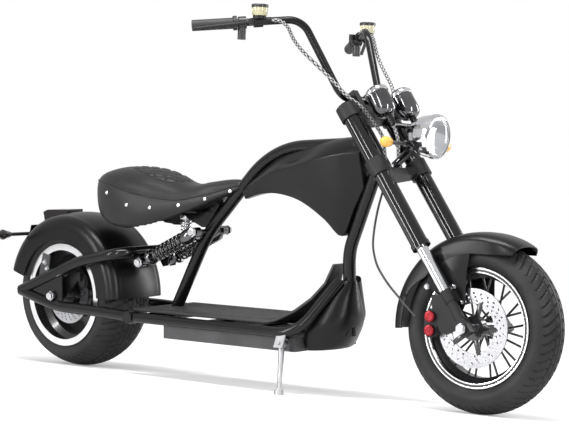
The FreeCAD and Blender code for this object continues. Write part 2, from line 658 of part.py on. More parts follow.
def clamp(low, high):
    """A yoke round both legs and the stem."""
    ring = both_sides(rod(on_fork(low, 0, -LEG_Y), on_fork(high, 0, -LEG_Y), UPPER_RADIUS + CLAMP_WALL))
    corners = [(-STEM_BACK, -26), (-STEM_BACK, 26), (-20, LEG_Y + 8), (20, LEG_Y), (0, 40), (0, -40), (20, -LEG_Y),
               (-20, -LEG_Y - 8)]
    web_low = low + 6
    face = Part.Face(outline([on_fork(web_low, ahead, side) for ahead, side in corners]))
    web = face.extrude(LEG * 24)
    boss = rod(on_fork(web_low, -STEM_BACK), on_fork(web_low + 24, -STEM_BACK), HEAD_RADIUS)
    shape = union(web, boss, *ring.Solids)
    for side in (-LEG_Y, LEG_Y):
        shape = shape.cut(rod(on_fork(low - 20, 0, side), on_fork(high + 20, 0, side), UPPER_RADIUS + FIT))
    return shape.cut(rod(on_fork(low - 20, -STEM_BACK), on_fork(high + 20, -STEM_BACK), STEM_RADIUS + FIT))


add("fork_clamps", Part.makeCompound([clamp(*LOW_CLAMP), clamp(*TOP_CLAMP)]), True)
stem = rod(on_fork(LOW_CLAMP[0] + 2, -STEM_BACK), on_fork(TOP_CLAMP[0] + 46, -STEM_BACK), STEM_RADIUS)
stem_nut = rod(on_fork(TOP_CLAMP[0] + 30.2, -STEM_BACK), on_fork(TOP_CLAMP[0] + 42, -STEM_BACK), 21.0)
add("steering_stem", union(stem, stem_nut), True)

front_fender = wheel_ring(fender_profile(266.0, 78.0, 3.0, 226.0, 24.0, 5.0), FRONT_AXLE, 126.0, 57.5)
side_wing = side_plate([(665, 352), (700, 440), (803, 444), (794, 360), (796, 306), (781, 284), (768, 290),
                        (700, 330)], -78.0, -75.0)
side_wing = side_wing.cut(wheel_ring([(226, -90), (300, -90), (300, -60), (226, -60)], FRONT_AXLE))
add("front_fender", union(front_fender, side_wing, mirrored(side_wing)), True)


# Calipers

def caliper(centre, disc_y, pot_gap, line, inner):
    """A block astride the disc, with two round pots on its outer face."""
    normal = V(line.z, 0, -line.x)
    pots = [centre + line * (pot_gap / 2), centre - line * (pot_gap / 2)]
    body = [rod(pot + V(0, disc_y - 26, 0), pot + V(0, disc_y + inner, 0), 21.0) for pot in pots]
    corners = [pots[0] + normal * 21, pots[1] + normal * 21, pots[1] - normal * 21, pots[0] - normal * 21]
    face = Part.Face(outline([corner + V(0, disc_y - 26, 0) for corner in corners]))
    shape = union(face.extrude(V(0, 26 + inner, 0)), *body)
    caps = [rod(pot + V(0, disc_y - 31, 0), pot + V(0, disc_y - 25, 0), 15.5) for pot in pots]
    return union(shape, *caps)


front_pads = V(FRONT_AXLE.x - 122, 0, FRONT_AXLE.z + 6)
slot = wheel_ring([(10, -DISC_THICK / 2 - 1.5), (DISC_RADIUS + 4, -DISC_THICK / 2 - 1.5),
                   (DISC_RADIUS + 4, DISC_THICK / 2 + 1.5), (10, DISC_THICK / 2 + 1.5)],
                  FRONT_AXLE + V(0, FRONT_DISC_Y, 0))
front_caliper = caliper(front_pads, FRONT_DISC_Y, 39.0, V(0, 0, 1), 9.0).cut(slot)
front_caliper = front_caliper.cut(wheel_ring([(133, -FRONT_RIM_HALF - 4), (300, -FRONT_RIM_HALF - 4),
                                              (300, 0), (133, 0)], FRONT_AXLE))
bridge_corners = [(10, 0), (112, 0), (140, -50), (125, -64), (80, -78), (40, -84), (22, -70)]
bridge = side_plate([(on_fork(*corner).x, on_fork(*corner).z) for corner in bridge_corners],
                    -LEG_Y + 14.2, -LEG_Y + 23)
bridge = bridge.cut(on_leg(-30, LOWER_TOP + 20, LOWER_RADIUS + 2.5 + FIT)).cut(lug_clear)
bridge = bridge.cut(rod(FRONT_AXLE + V(0, -LEG_Y, 0), FRONT_AXLE, 14 + FIT))
add("front_caliper", union(front_caliper, bridge), True)

rear_pads = REAR_AXLE + V(88, 0, 62)
rear_line = V(-0.58, 0, 0.81).normalize()
rear_slot = wheel_ring([(10, -DISC_THICK / 2 - 1.5), (REAR_DISC_RADIUS + 4, -DISC_THICK / 2 - 1.5),
                        (REAR_DISC_RADIUS + 4, DISC_THICK / 2 + 1.5), (10, DISC_THICK / 2 + 1.5)],
                       REAR_AXLE + V(0, REAR_DISC_Y, 0))
rear_caliper = caliper(rear_pads, REAR_DISC_Y, 36.0, rear_line, 9.0).cut(rear_slot)
rear_caliper = rear_caliper.cut(wheel_ring([(140, -200), (300, -200), (300, 0), (140, 0)], REAR_AXLE))
hanger = side_plate([(REAR_AXLE.x - 20, REAR_AXLE.z - 14), (REAR_AXLE.x - 20, REAR_AXLE.z + 16),
                     (-748, 330), (-722, 300), (REAR_AXLE.x + 14, REAR_AXLE.z - 14)], -112, -104)
hanger_arm = block((-752, -112, 290), (-716, -96, 318))
rear_caliper = union(rear_caliper, hanger, hanger_arm)
rear_caliper = rear_caliper.cut(rod(V(REAR_AXLE.x, -200, REAR_AXLE.z), V(REAR_AXLE.x, -60, REAR_AXLE.z),
                                    AXLE_RADIUS + FIT))
add("rear_caliper", rear_caliper)


# Handlebar and what it carries

BAR_LOW = on_fork(772, 0, 0)
BAR = [V(BAR_LOW.x, 0, BAR_LOW.z), V(368, -98, 868), V(262, -163, 1092), V(45, -386, 1057)]
BAR[1] = V(BAR_LOW.x, -98, BAR_LOW.z)
half_bar = bent_rod(BAR, [48, 62], BAR_RADIUS)
add("handlebar", union(half_bar, mirrored(half_bar)), True)
risers = []
for side in (-52.0, 28.0):
    riser = block((-19, side, 0), (19, side + 24, 62))
    riser.rotate(V(0, 0, 0), V(0, 1, 0), -RAKE)
    riser.translate(on_fork(TOP_CLAMP[0] + 30.2, 0, 0))
    risers.append(riser.cut(rod(BAR_LOW + V(0, -100, 0), BAR_LOW + V(0, 100, 0), BAR_RADIUS + FIT)))
add("bar_clamps", Part.makeCompound(risers), True)

bar_line = (BAR[3] - BAR[2]).normalize()
grip_end = BAR[3] + bar_line * 4
grip_start = grip_end - bar_line * GRIP_LENGTH
grip = union(rod(grip_start, grip_end, GRIP_RADIUS), rod(grip_start, grip_start + bar_line * 10, GRIP_RADIUS + 5))
grip = grip.cut(rod(grip_start - bar_line, BAR[3], BAR_RADIUS + FIT))
add("grips", both_sides(grip), True)

UP = V(0, 0, 1)
outward = bar_line.cross(UP).normalize()
if outward.x < 0:
    outward = outward * -1
perch = grip_start - bar_line * 62
perch_ring = pipe(perch - bar_line * 13, perch + bar_line * 13, BAR_RADIUS + 5, BAR_RADIUS + FIT)
master_base = perch + outward * 24
master = rod(master_base - bar_line * 34, master_base + bar_line * 26, 10.0)
shelf = rod(master_base + UP * 6, master_base + UP * 15, 19.0)
lever_pivot = perch + outward * 26 + bar_line * 22 - UP * 2
lever = rod(lever_pivot, grip_end + outward * 40 - UP * 12, 5.0)
lever_boss = rod(lever_pivot - UP * 9, lever_pivot + UP * 9, 10.0)
bar_clear = bent_rod(BAR, [48, 62], BAR_RADIUS + FIT)
MIRROR_HOLE_RADIUS = 4.0
MIRROR_HOLE_DEPTH = 14.0
mirror_base = perch - outward * 23
mirror_top = mirror_base + UP * 9
mirror_boss = rod(mirror_base - UP * 9, mirror_top, 9.0)
controls = union(perch_ring, master, shelf, lever_boss, lever, mirror_boss).cut(bar_clear)
controls = controls.cut(rod(mirror_top - UP * MIRROR_HOLE_DEPTH, mirror_top + UP * 5, MIRROR_HOLE_RADIUS))
add("brake_controls", both_sides(controls), True)
cup = rod(master_base + UP * 15.2, master_base + UP * 37, 17.0)
cup_lid = rod(master_base + UP * 37, master_base + UP * 41, 18.5)
add("reservoirs", both_sides(union(cup, cup_lid)), True)
switch_base = grip_start - bar_line * 16
switch = union(pipe(switch_base - bar_line * 11, switch_base + bar_line * 11, BAR_RADIUS + 7, BAR_RADIUS + FIT),
               rod(switch_base - UP * 14, switch_base - UP * 48, 12.0))
add("switches", both_sides(switch.cut(bar_clear)), True)


# Lamp, gauges and signals

LAMP = V(636, 0, 767)
LAMP_BACK = V(548, 0, 772)
lamp_line = (LAMP - LAMP_BACK).normalize()
bowl = union(cone(LAMP_BACK - lamp_line * 6, LAMP_BACK + lamp_line * 22, 26.0, 50.0),
             cone(LAMP_BACK + lamp_line * 22, LAMP - lamp_line * 14, 50.0, 61.0),
             rod(LAMP - lamp_line * 14, LAMP, 63.0))
post = rod(on_fork(LOW_CLAMP[1] - 8, -6, 0), V(566, 0, 745), 12.0)
clamp_clear = clamp(*LOW_CLAMP)
add("headlamp", union(bowl, post.cut(clamp_clear)), True)
lens = rod(LAMP + lamp_line * FIT, LAMP + lamp_line * 9, 58.0)
add("headlamp_lens", lens, True)
can_low = on_fork(654, 86, -62)
can_high = on_fork(750, 86, -62)
can = union(cone(can_low, can_low + LEG * 16, 20.0, 33.0), rod(can_low + LEG * 16, can_high, 33.0))
add("gauges", both_sides(can), True)
amber = spun(V(560, -132, 745), V(0.1, -1, 0).normalize(), [(0, 0), (0, 13), (28, 15), (42, 6), (44, 0)])
signal_stalk = rod(V(556, -46.6, 745), V(560, -134, 745), 6.0)
add("front_signals", both_sides(union(amber, signal_stalk)), True)
gauge_foot = rod(on_fork(620, 86, -62), on_fork(653.8, 86, -62), 10.0)
gauge_bar = rod(on_fork(620, 86, -66), on_fork(620, 86, 66), 8.0)
gauge_link = rod(on_fork(620, 86, 0), V(540, 0, 760), 9.0)
lamp_mount = union(gauge_foot, mirrored(gauge_foot), gauge_bar, gauge_link)
cross_bar = rod(V(556, -45.8, 745), V(556, 45.8, 745), 9.0)
lamp_mount = union(lamp_mount, cross_bar).cut(bowl).cut(post)
add("lamp_mount", lamp_mount, True)


# Hoses

HOSE_RADIUS = 3.2
hose_points = [on_fork(LOW_CLAMP[0] + 5, -24, -70), on_fork(LOW_CLAMP[0] - 20, -32, -71), V(491, -74, 560),
               V(485, -80, 500), V(486, -86, 450), V(506, -92, 398), V(548, -97, 350), V(592, -100, 312),
               V(628, -101, 281), V(650, -101, 262)]
hose = bent_rod(hose_points, even_radii(hose_points), HOSE_RADIUS)
add("front_brake_hose", hose, True)


def placed(point, steered=False):
    """Where a drawn point lies on the parked vehicle, in millimetres."""
    mark = Part.Vertex(point)
    mark = placed_steered(mark) if steered else mark
    mark.rotate(V(0, 0, 0), V(1, 0, 0), LEAN)
    return mark.Point + shift


# Lean everything onto the stand and bring the box centre to the origin

for name in nodes:
    nodes[name].rotate(V(0, 0, 0), V(1, 0, 0), LEAN)
whole = FreeCAD.BoundBox()
for shape in nodes.values():
    whole.add(shape.optimalBoundingBox())
shift = V(-(whole.XMin + whole.XMax) / 2, -(whole.YMin + whole.YMax) / 2, 0)
os.makedirs("parts", exist_ok=True)
for name, shape in nodes.items():
    shape.translate(shift)
    shape.exportStep("parts/" + name + ".step")
print("nodes", len(nodes), "shift", round(shift.x, 2), round(shift.y, 2), "low", round(whole.ZMin, 2))
print("size", round(whole.XLength, 1), round(whole.YLength, 1), round(whole.ZLength, 1))
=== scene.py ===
# %% [markdown]
# # An electric chopper scooter
# The real thing is a long, low scooter with fat twelve inch tyres, a raked fork, high pulled back
# bars and a stitched saddle. It is parked, leaning on its side stand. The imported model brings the
# frame and all hard parts. This lesson gives them their finishes and adds what is soft or fine.

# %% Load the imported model
import math

import bpy
import bmesh
from mathutils import Euler, Matrix, Vector
from mathutils.bvhtree import BVHTree


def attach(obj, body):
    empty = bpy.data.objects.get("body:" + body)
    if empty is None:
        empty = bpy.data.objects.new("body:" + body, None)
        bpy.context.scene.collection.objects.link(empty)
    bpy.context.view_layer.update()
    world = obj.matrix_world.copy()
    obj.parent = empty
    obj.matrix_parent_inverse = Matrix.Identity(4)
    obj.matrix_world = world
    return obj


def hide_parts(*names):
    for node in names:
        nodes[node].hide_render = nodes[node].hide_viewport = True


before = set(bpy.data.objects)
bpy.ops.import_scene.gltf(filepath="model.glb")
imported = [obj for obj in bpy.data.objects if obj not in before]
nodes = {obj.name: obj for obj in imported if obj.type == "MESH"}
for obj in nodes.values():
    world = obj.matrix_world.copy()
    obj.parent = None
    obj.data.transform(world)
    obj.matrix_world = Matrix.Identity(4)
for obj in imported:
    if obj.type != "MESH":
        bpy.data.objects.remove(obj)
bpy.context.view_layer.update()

# %% [markdown]
# The vehicle was measured upright, in millimetres, from the ground midway between its axles. It then
# leans 6 degrees onto its stand. One matrix carries every upright point to where it is parked, and a
# second one also turns what the fork carries, so that all the pieces below can be drawn upright.

# %% Upright points and where they are parked
MM = 0.001
LEAN = math.radians(6.0)
STEER = math.radians(6.3)
RAKE = math.radians(35.4)
SHIFT = Vector((8.59, 119.41, 0)) * MM
LEG = Vector((-math.sin(RAKE), 0, math.cos(RAKE)))
AHEAD = Vector((math.cos(RAKE), 0, math.sin(RAKE)))
SIDE = Vector((0, 1, 0))
UP = Vector((0, 0, 1))
STEM_BACK = 45.0
FRONT_AXLE = Vector((815.0, 0, 240.05))
REAR_AXLE = Vector((-815.0, 0, 238.83))
PARKED = Matrix.Translation(SHIFT) @ Matrix.Rotation(LEAN, 4, "X")


def on_fork(along, ahead=0.0, side=0.0):
    """A point of the fork, in millimetres along the leg from the axle."""
    return FRONT_AXLE + LEG * along + AHEAD * ahead + SIDE * side


stem_point = on_fork(0, -STEM_BACK) * MM
to_stem = Matrix.Translation(stem_point)
TURNED = PARKED @ to_stem @ Matrix.Rotation(STEER, 4, LEG) @ to_stem.inverted()
print("front axle is parked at", tuple(round(v, 3) for v in TURNED @ (FRONT_AXLE * MM)))

# %% [markdown]
# The camera stands low on the rider's right, ahead of the front wheel, with a long lens. It is placed
# upright as well, so that it leans with the vehicle as the photograph does.

# %% Camera
camera_data = bpy.data.cameras.new("camera")
camera_data.sensor_width = 36.0
camera_data.lens = 129.07      # focal length in millimetres
camera_data.shift_x = 0.0076
camera = bpy.data.objects.new("camera", camera_data)
bpy.context.scene.collection.objects.link(camera)
camera_upright = Matrix.LocRotScale(Vector((4.1701, -4.5428, 0.8473)),
                                    Euler((math.radians(87.03), 0, math.radians(42.18))), None)
camera.matrix_world = PARKED @ camera_upright
bpy.context.scene.camera = camera
print("camera height", round(camera.matrix_world.translation.z, 3))

# %% [markdown]
# The stage is a wide pale floor under a plain white sky. Long area lamps give the black paint its
# highlights. To the camera the sky is white, in reflections nearly so, and as a light it is weaker, so
# that the floor keeps a shadow. The floor's own glow grows with distance, to meet the sky.

# %% Floor, sky and lamps
FLOOR_ALBEDO = 0.84
NEAR_GLOW = 0.22          # what the floor adds for the camera close by
FAR_GLOW = 0.66
NEAR_REACH = 1.2          # metres from the vehicle
FAR_REACH = 5.0
SKY_LIGHT = 0.48
SKY_MIRRORED = 0.72


def node_of(tree, kind, operation=None, **values):
    """A shader node with some of its sockets set."""
    node = tree.nodes.new(kind)
    if operation:
        node.operation = operation
    for socket, value in values.items():
        node.inputs[socket.replace("_", " ")].default_value = value
    return node


def wire(tree, a, out, b, into):
    tree.links.new(a.outputs[out], b.inputs[into])


bpy.ops.object.select_all(action="DESELECT")
bpy.ops.mesh.primitive_plane_add(size=60.0, location=(0, 0, -0.0005))
floor = bpy.context.object
floor.name = "floor"
floor_paint = bpy.data.materials.new("pale_floor")
floor_paint.use_nodes = True
tree = floor_paint.node_tree
tree.nodes.clear()
floor_out = node_of(tree, "ShaderNodeOutputMaterial")
floor_matt = node_of(tree, "ShaderNodeBsdfDiffuse", Color=(FLOOR_ALBEDO, FLOOR_ALBEDO, FLOOR_ALBEDO, 1))
floor_glow = node_of(tree, "ShaderNodeEmission")
floor_sum = node_of(tree, "ShaderNodeAddShader")
floor_path = node_of(tree, "ShaderNodeLightPath")
floor_level = node_of(tree, "ShaderNodeMath", "MULTIPLY")
floor_place = node_of(tree, "ShaderNodeTexCoord")
floor_reach = node_of(tree, "ShaderNodeVectorMath", "LENGTH")
floor_fade = node_of(tree, "ShaderNodeMapRange", From_Min=NEAR_REACH, From_Max=FAR_REACH, To_Min=NEAR_GLOW,
                     To_Max=FAR_GLOW)
wire(tree, floor_place, "Object", floor_reach, 0)
wire(tree, floor_reach, "Value", floor_fade, "Value")
wire(tree, floor_path, "Is Camera Ray", floor_level, 0)
wire(tree, floor_fade, "Result", floor_level, 1)
wire(tree, floor_level, 0, floor_glow, "Strength")
wire(tree, floor_matt, 0, floor_sum, 0)
wire(tree, floor_glow, 0, floor_sum, 1)
wire(tree, floor_sum, 0, floor_out, "Surface")
floor.data.materials.append(floor_paint)

world = bpy.data.worlds.new("white_sky")
bpy.context.scene.world = world
world.use_nodes = True
tree = world.node_tree
tree.nodes.clear()
sky_out = node_of(tree, "ShaderNodeOutputWorld")
sky = node_of(tree, "ShaderNodeBackground", Color=(1, 1, 1, 1))
sky_path = node_of(tree, "ShaderNodeLightPath")
sky_mirror = node_of(tree, "ShaderNodeMapRange", To_Min=SKY_LIGHT, To_Max=SKY_MIRRORED)
sky_seen = node_of(tree, "ShaderNodeMath", "MAXIMUM")
sky_glass = node_of(tree, "ShaderNodeMath", "MAXIMUM")
wire(tree, sky_path, "Is Glossy Ray", sky_glass, 0)
wire(tree, sky_path, "Is Transmission Ray", sky_glass, 1)
wire(tree, sky_glass, 0, sky_mirror, "Value")
wire(tree, sky_path, "Is Camera Ray", sky_seen, 0)
wire(tree, sky_mirror, "Result", sky_seen, 1)
wire(tree, sky_seen, 0, sky, "Strength")
wire(tree, sky, 0, sky_out, "Surface")


def lamp(name, spot, aim, size, power):
    """A soft square lamp that faces a point."""
    light = bpy.data.lights.new(name, "AREA")
    light.shape = "RECTANGLE"
    light.size = size[0]
    light.size_y = size[1]
    light.energy = power
    stand = bpy.data.objects.new(name, light)
    bpy.context.scene.collection.objects.link(stand)
    stand.location = spot
    stand.rotation_euler = (Vector(aim) - Vector(spot)).to_track_quat("-Z", "Y").to_euler()


lamp("high_lamp", (0.4, -0.9, 3.0), (0, 0, 0.4), (2.4, 0.5), 90.0)
lamp("left_strip", (-1.6, -3.6, 1.3), (-0.1, 0, 0.6), (0.30, 2.6), 85.0)
lamp("near_strip", (1.3, -3.9, 1.5), (0.3, 0, 0.6), (0.16, 2.6), 55.0)
lamp("front_strip", (4.0, -0.9, 1.4), (0.6, 0, 0.6), (0.22, 2.4), 60.0)
lamp("far_strip", (1.6, 3.2, 1.6), (0.4, 0, 0.6), (0.5, 2.2), 60.0)
bpy.context.scene.view_settings.view_transform = "Standard"
print("stage ready")

# %% [markdown]
# A finish is more than a colour. Paint has a slight orange peel, castings are rough, rubber has a fine
# grain. One recipe serves them all: a fine noise moves the roughness, a coarse one moves the shade, and a
# bump at the right scale roughens the skin.

# %% A recipe for finishes
COAT_ROUGHNESS = 0.08
SHADE_STOPS = (0.35, 0.65)     # grey values of the dark and the light shade


def noise(tree, scale, detail, place):
    """Cloudy grey pattern, scale in waves to the metre."""
    cloud = node_of(tree, "ShaderNodeTexNoise", Scale=scale, Detail=detail)
    wire(tree, place, "Object", cloud, "Vector")
    return cloud


def two_shades(tree, cloud, dark, light):
    """Two shades of a colour, chosen by a grey pattern."""
    scale = node_of(tree, "ShaderNodeValToRGB")
    for stop, position, shade in zip(scale.color_ramp.elements, SHADE_STOPS, (dark, light)):
        stop.position = position
        stop.color = (*shade, 1)
    wire(tree, cloud, "Fac", scale, "Fac")
    return scale


def finish_of(name, dark, light, rough, metal=0.0, patches=9.0, grain=900.0, depth=0.0003, coat=0.0,
              bump=0.3, shine=0.5):
    """A surface with uneven shade, uneven gloss and a fine grain."""
    material = bpy.data.materials.new(name)
    material.use_nodes = True
    tree = material.node_tree
    shader = tree.nodes["Principled BSDF"]
    shader.inputs["Metallic"].default_value = metal
    shader.inputs["Specular IOR Level"].default_value = shine
    if coat:
        shader.inputs["Coat Weight"].default_value = coat
        shader.inputs["Coat Roughness"].default_value = COAT_ROUGHNESS
    place = node_of(tree, "ShaderNodeTexCoord")
    shade = two_shades(tree, noise(tree, patches, 4.0, place), dark, light)
    wire(tree, shade, "Color", shader, "Base Color")
    fine = noise(tree, grain, 3.0, place)
    gloss = node_of(tree, "ShaderNodeMapRange", To_Min=rough[0], To_Max=rough[1])
    wire(tree, fine, "Fac", gloss, "Value")
    wire(tree, gloss, "Result", shader, "Roughness")
    relief = node_of(tree, "ShaderNodeBump", Strength=bump, Distance=depth)
    wire(tree, fine, "Fac", relief, "Height")
    wire(tree, relief, "Normal", shader, "Normal")
    return material


def shader_of(material):
    return material.node_tree.nodes["Principled BSDF"]


def wear(node_names, material):
    """Put one finish on several hard parts."""
    for name in node_names:
        mesh = nodes[name].data
        mesh.materials.clear()
        mesh.materials.append(material)


# %% [markdown]
# Frame and body are sprayed black: satin on the tubes, a softer satin on the mudguards and the shell,
# and a deep gloss on the fork legs. Castings and the battery's sheet are rougher.

# %% Paints
tube_paint = finish_of("tube_paint", (0.002, 0.002, 0.0024), (0.004, 0.004, 0.0046), (0.2, 0.3),
                       coat=0.2, depth=0.00005, bump=0.12, shine=0.22)
body_paint = finish_of("body_paint", (0.002, 0.002, 0.0024), (0.004, 0.004, 0.0046), (0.26, 0.36),
                       patches=4.0, grain=2600.0, depth=0.00004, bump=0.15, shine=0.26)
gloss_paint = finish_of("gloss_paint", (0.002, 0.002, 0.0022), (0.004, 0.004, 0.0045), (0.07, 0.12),
                        coat=0.45, depth=0.00003, bump=0.05, shine=0.3)
casting = finish_of("casting", (0.005, 0.005, 0.0055), (0.011, 0.011, 0.012), (0.4, 0.58),
                    grain=1400.0, depth=0.0002, shine=0.3)
grey_sheet = finish_of("grey_sheet", (0.045, 0.045, 0.047), (0.065, 0.065, 0.068), (0.38, 0.5),
                       metal=0.3, grain=1500.0, depth=0.0001)
wear(["head_tube", "backbone_tube", "down_tube", "side_rail_right", "side_rail_left", "cross_members",
      "swing_arm_right", "swing_arm_left", "swing_arm_hoop", "seat_base", "plate_holder", "lamp_mount",
      "handlebar"], tube_paint)
wear(["rear_fender"], body_paint)
wear(["fork_tubes"], gloss_paint)
wear(["fork_clamps", "front_caliper", "rear_caliper", "bar_clamps", "brake_controls", "fork_lowers"],
     casting)
wear(["fender_stays", "battery_box"], grey_sheet)

# %% [markdown]
# Bright metal differs by how it was made. Chrome is smooth, a turned shaft has a fine grain, and a
# sand casting for the stand is dull and pitted.

# %% Metals
chrome = finish_of("chrome", (0.62, 0.62, 0.64), (0.78, 0.78, 0.80), (0.05, 0.12), metal=1.0,
                   depth=0.00003, bump=0.05)
steel = finish_of("steel", (0.36, 0.36, 0.38), (0.50, 0.50, 0.52), (0.2, 0.34), metal=1.0,
                  grain=1800.0, depth=0.00005, bump=0.15)
cast_silver = finish_of("cast_silver", (0.30, 0.30, 0.31), (0.42, 0.42, 0.43), (0.34, 0.5),
                        metal=1.0, grain=1100.0, depth=0.0002)
black_chrome = finish_of("black_chrome", (0.10, 0.10, 0.105), (0.16, 0.16, 0.165), (0.08, 0.16),
                         metal=1.0, depth=0.00003, bump=0.05)
wear(["fork_sliders", "front_axle"], chrome)
wear(["rear_axle", "steering_stem"], steel)
wear(["side_stand", "stand_bracket"], cast_silver)

# %% [markdown]
# Rubber and plastic take the same recipe, in dark and uneven shades with a fine grain.

# %% Rubber, plastic and lenses
tyre_rubber = finish_of("tyre_rubber", (0.010, 0.010, 0.0105), (0.020, 0.020, 0.021), (0.46, 0.62),
                        grain=1600.0, depth=0.00015, shine=0.3)
hose_rubber = finish_of("hose_rubber", (0.012, 0.012, 0.013), (0.018, 0.018, 0.019), (0.35, 0.5),
                        grain=1200.0, depth=0.0001)
grip_rubber = finish_of("grip_rubber", (0.012, 0.012, 0.013), (0.020, 0.020, 0.021), (0.5, 0.68),
                        grain=900.0, depth=0.0003)
board_rubber = finish_of("board_rubber", (0.012, 0.012, 0.013), (0.019, 0.019, 0.020), (0.45, 0.6),
                         grain=1300.0, depth=0.0002)
switch_plastic = finish_of("switch_plastic", (0.012, 0.012, 0.013), (0.018, 0.018, 0.02),
                           (0.3, 0.45), grain=2000.0, depth=0.0001)
rim_black = finish_of("rim_black", (0.010, 0.010, 0.011), (0.015, 0.015, 0.016), (0.2, 0.32),
                      coat=0.4, depth=0.00004, bump=0.1)
amber_plastic = finish_of("amber_plastic", (0.75, 0.40, 0.07), (0.88, 0.55, 0.14), (0.12, 0.2),
                          grain=700.0, depth=0.0001)
cup_plastic = finish_of("cup_plastic", (0.62, 0.58, 0.36), (0.78, 0.75, 0.55), (0.08, 0.16),
                        grain=500.0, depth=0.0001)
lens_glass = finish_of("lens_glass", (0.93, 0.94, 0.95), (0.97, 0.98, 0.99), (0.0, 0.02),
                       grain=150.0, depth=0.0002, bump=0.15)
shader_of(lens_glass).inputs["Transmission Weight"].default_value = 1.0
shader_of(lens_glass).inputs["IOR"].default_value = 1.2
shader_of(cup_plastic).inputs["Transmission Weight"].default_value = 0.35
smoke_plastic = finish_of("smoke_plastic", (0.010, 0.008, 0.008), (0.018, 0.014, 0.014),
                          (0.08, 0.16), grain=700.0, depth=0.0001)
wear(["front_brake_hose"], hose_rubber)
wear(["grips"], grip_rubber)
wear(["switches"], switch_plastic)
wear(["rear_rim", "front_rim", "front_spokes", "rear_hub"], rim_black)
wear(["tail_lamp", "rear_signals"], smoke_plastic)

# %% [markdown]
# Every new piece below is drawn upright in millimetres, as on a workshop drawing, and then parked: its
# place is baked into its mesh and it rides on its body. Few helpers do all of the modelling. A turned
# piece grows from a disc by extruding and scaling it, as on a lathe. A band is a closed section spun
# round an axle. A skin is bridged over rings of points, as canvas is stretched over ribs.

# %% Helpers for modelling
MERGE = 1e-6
FINE_MERGE = 1e-7
ANY_RADIUS = 0.1          # of a circle whose points are set at once


def fresh():
    """Leave edit mode, with nothing selected."""
    if bpy.context.mode != "OBJECT":
        bpy.ops.object.mode_set(mode="OBJECT")
    bpy.ops.object.select_all(action="DESELECT")


def alone(piece):
    fresh()
    piece.select_set(True)
    bpy.context.view_layer.objects.active = piece


def open_mesh(piece):
    """Edit mode with all of one piece selected."""
    alone(piece)
    bpy.ops.object.mode_set(mode="EDIT")
    bpy.ops.mesh.select_all(action="SELECT")


def close_mesh(merge=MERGE):
    """Merge what touches, turn all faces outwards and leave edit mode."""
    bpy.ops.mesh.select_all(action="SELECT")
    bpy.ops.mesh.remove_doubles(threshold=merge)
    bpy.ops.mesh.normals_make_consistent(inside=False)
    bpy.ops.object.mode_set(mode="OBJECT")


def turn_to(line):
    """The turn that points a primitive's own axis along a line."""
    return Vector(line).to_track_quat("Z", "Y").to_euler()


def lathe(name, start, line, profile, sides=48):
    """A solid turned about a line, from (distance, radius) steps."""
    fresh()
    line = Vector(line).normalized()
    here = profile[0]
    bpy.ops.mesh.primitive_circle_add(vertices=sides, radius=here[1] * MM, fill_type="NGON",
                                      location=(start + line * here[0]) * MM, rotation=turn_to(line))
    piece = bpy.context.object
    piece.name = name
    open_mesh(piece)
    for step in profile[1:]:
        bpy.ops.mesh.extrude_region_move(TRANSFORM_OT_translate={"value": line * (step[0] - here[0]) * MM})
        grow = step[1] / here[1]
        bpy.ops.transform.resize(value=(grow, grow, grow), center_override=(start + line * step[0]) * MM)
        here = step
    close_mesh(FINE_MERGE)
    return piece


def band(name, centre, profile, steps=120):
    """A ring about an axle, from a closed section of (radius, side) points."""
    fresh()
    bpy.ops.mesh.primitive_circle_add(vertices=len(profile), radius=ANY_RADIUS)
    piece = bpy.context.object
    piece.name = name
    for vertex, (radius, side) in zip(piece.data.vertices, profile):
        vertex.co = (centre + Vector((radius, side, 0))) * MM
    open_mesh(piece)
    bpy.ops.mesh.spin(steps=steps, angle=2 * math.pi, center=centre * MM, axis=(0, 1, 0))
    close_mesh()
    return piece


def skin(name, rings):
    """A closed skin bridged over rings that have as many points each."""
    fresh()
    count = len(rings[0])
    bpy.ops.mesh.primitive_circle_add(vertices=count, radius=ANY_RADIUS)
    piece = bpy.context.object
    piece.name = name
    bpy.ops.object.mode_set(mode="EDIT")
    for ring in rings[1:]:
        bpy.ops.mesh.primitive_circle_add(vertices=count, radius=ANY_RADIUS)
    bpy.ops.object.mode_set(mode="OBJECT")
    for vertex, point in zip(piece.data.vertices, [point for ring in rings for point in ring]):
        vertex.co = Vector(point) * MM
    spans = [(index, index + 2) for index in range(len(rings) - 1)]
    for first, last in spans + [(0, 1), (len(rings) - 1, len(rings))]:
        open_mesh(piece)
        bpy.ops.mesh.select_all(action="DESELECT")
        bpy.ops.object.mode_set(mode="OBJECT")
        for vertex in piece.data.vertices[first * count:last * count]:
            vertex.select = True
        bpy.ops.object.mode_set(mode="EDIT")
        if last - first == 2:
            bpy.ops.mesh.bridge_edge_loops()
        else:
            bpy.ops.mesh.edge_face_add()
    close_mesh(FINE_MERGE)
    return piece


def modify(piece, kind, **settings):
    """Add a modifier, set it up and apply it."""
    alone(piece)
    modifier = piece.modifiers.new(kind.lower(), kind)
    for key, value in settings.items():
        setattr(modifier, key, value)
    bpy.ops.object.modifier_apply(modifier=modifier.name)


def settle(piece):
    """Bake the place of a piece into its mesh."""
    alone(piece)
    bpy.ops.object.transform_apply(location=True, rotation=True, scale=True)


def far_twin(piece, name):
    """A copy on the far side of the vehicle, with its own mesh."""
    settle(piece)
    other = piece.copy()
    other.data = piece.data.copy()
    other.name = name
    bpy.context.scene.collection.objects.link(other)
    other.data.transform(Matrix.Scale(-1, 4, SIDE))
    other.data.flip_normals()
    return other


def join(pieces, name):
    """Make one piece of several."""
    for piece in pieces:
        settle(piece)
    fresh()
    for piece in pieces:
        piece.select_set(True)
    bpy.context.view_layer.objects.active = pieces[0]
    bpy.ops.object.join()
    pieces[0].name = name
    return pieces[0]


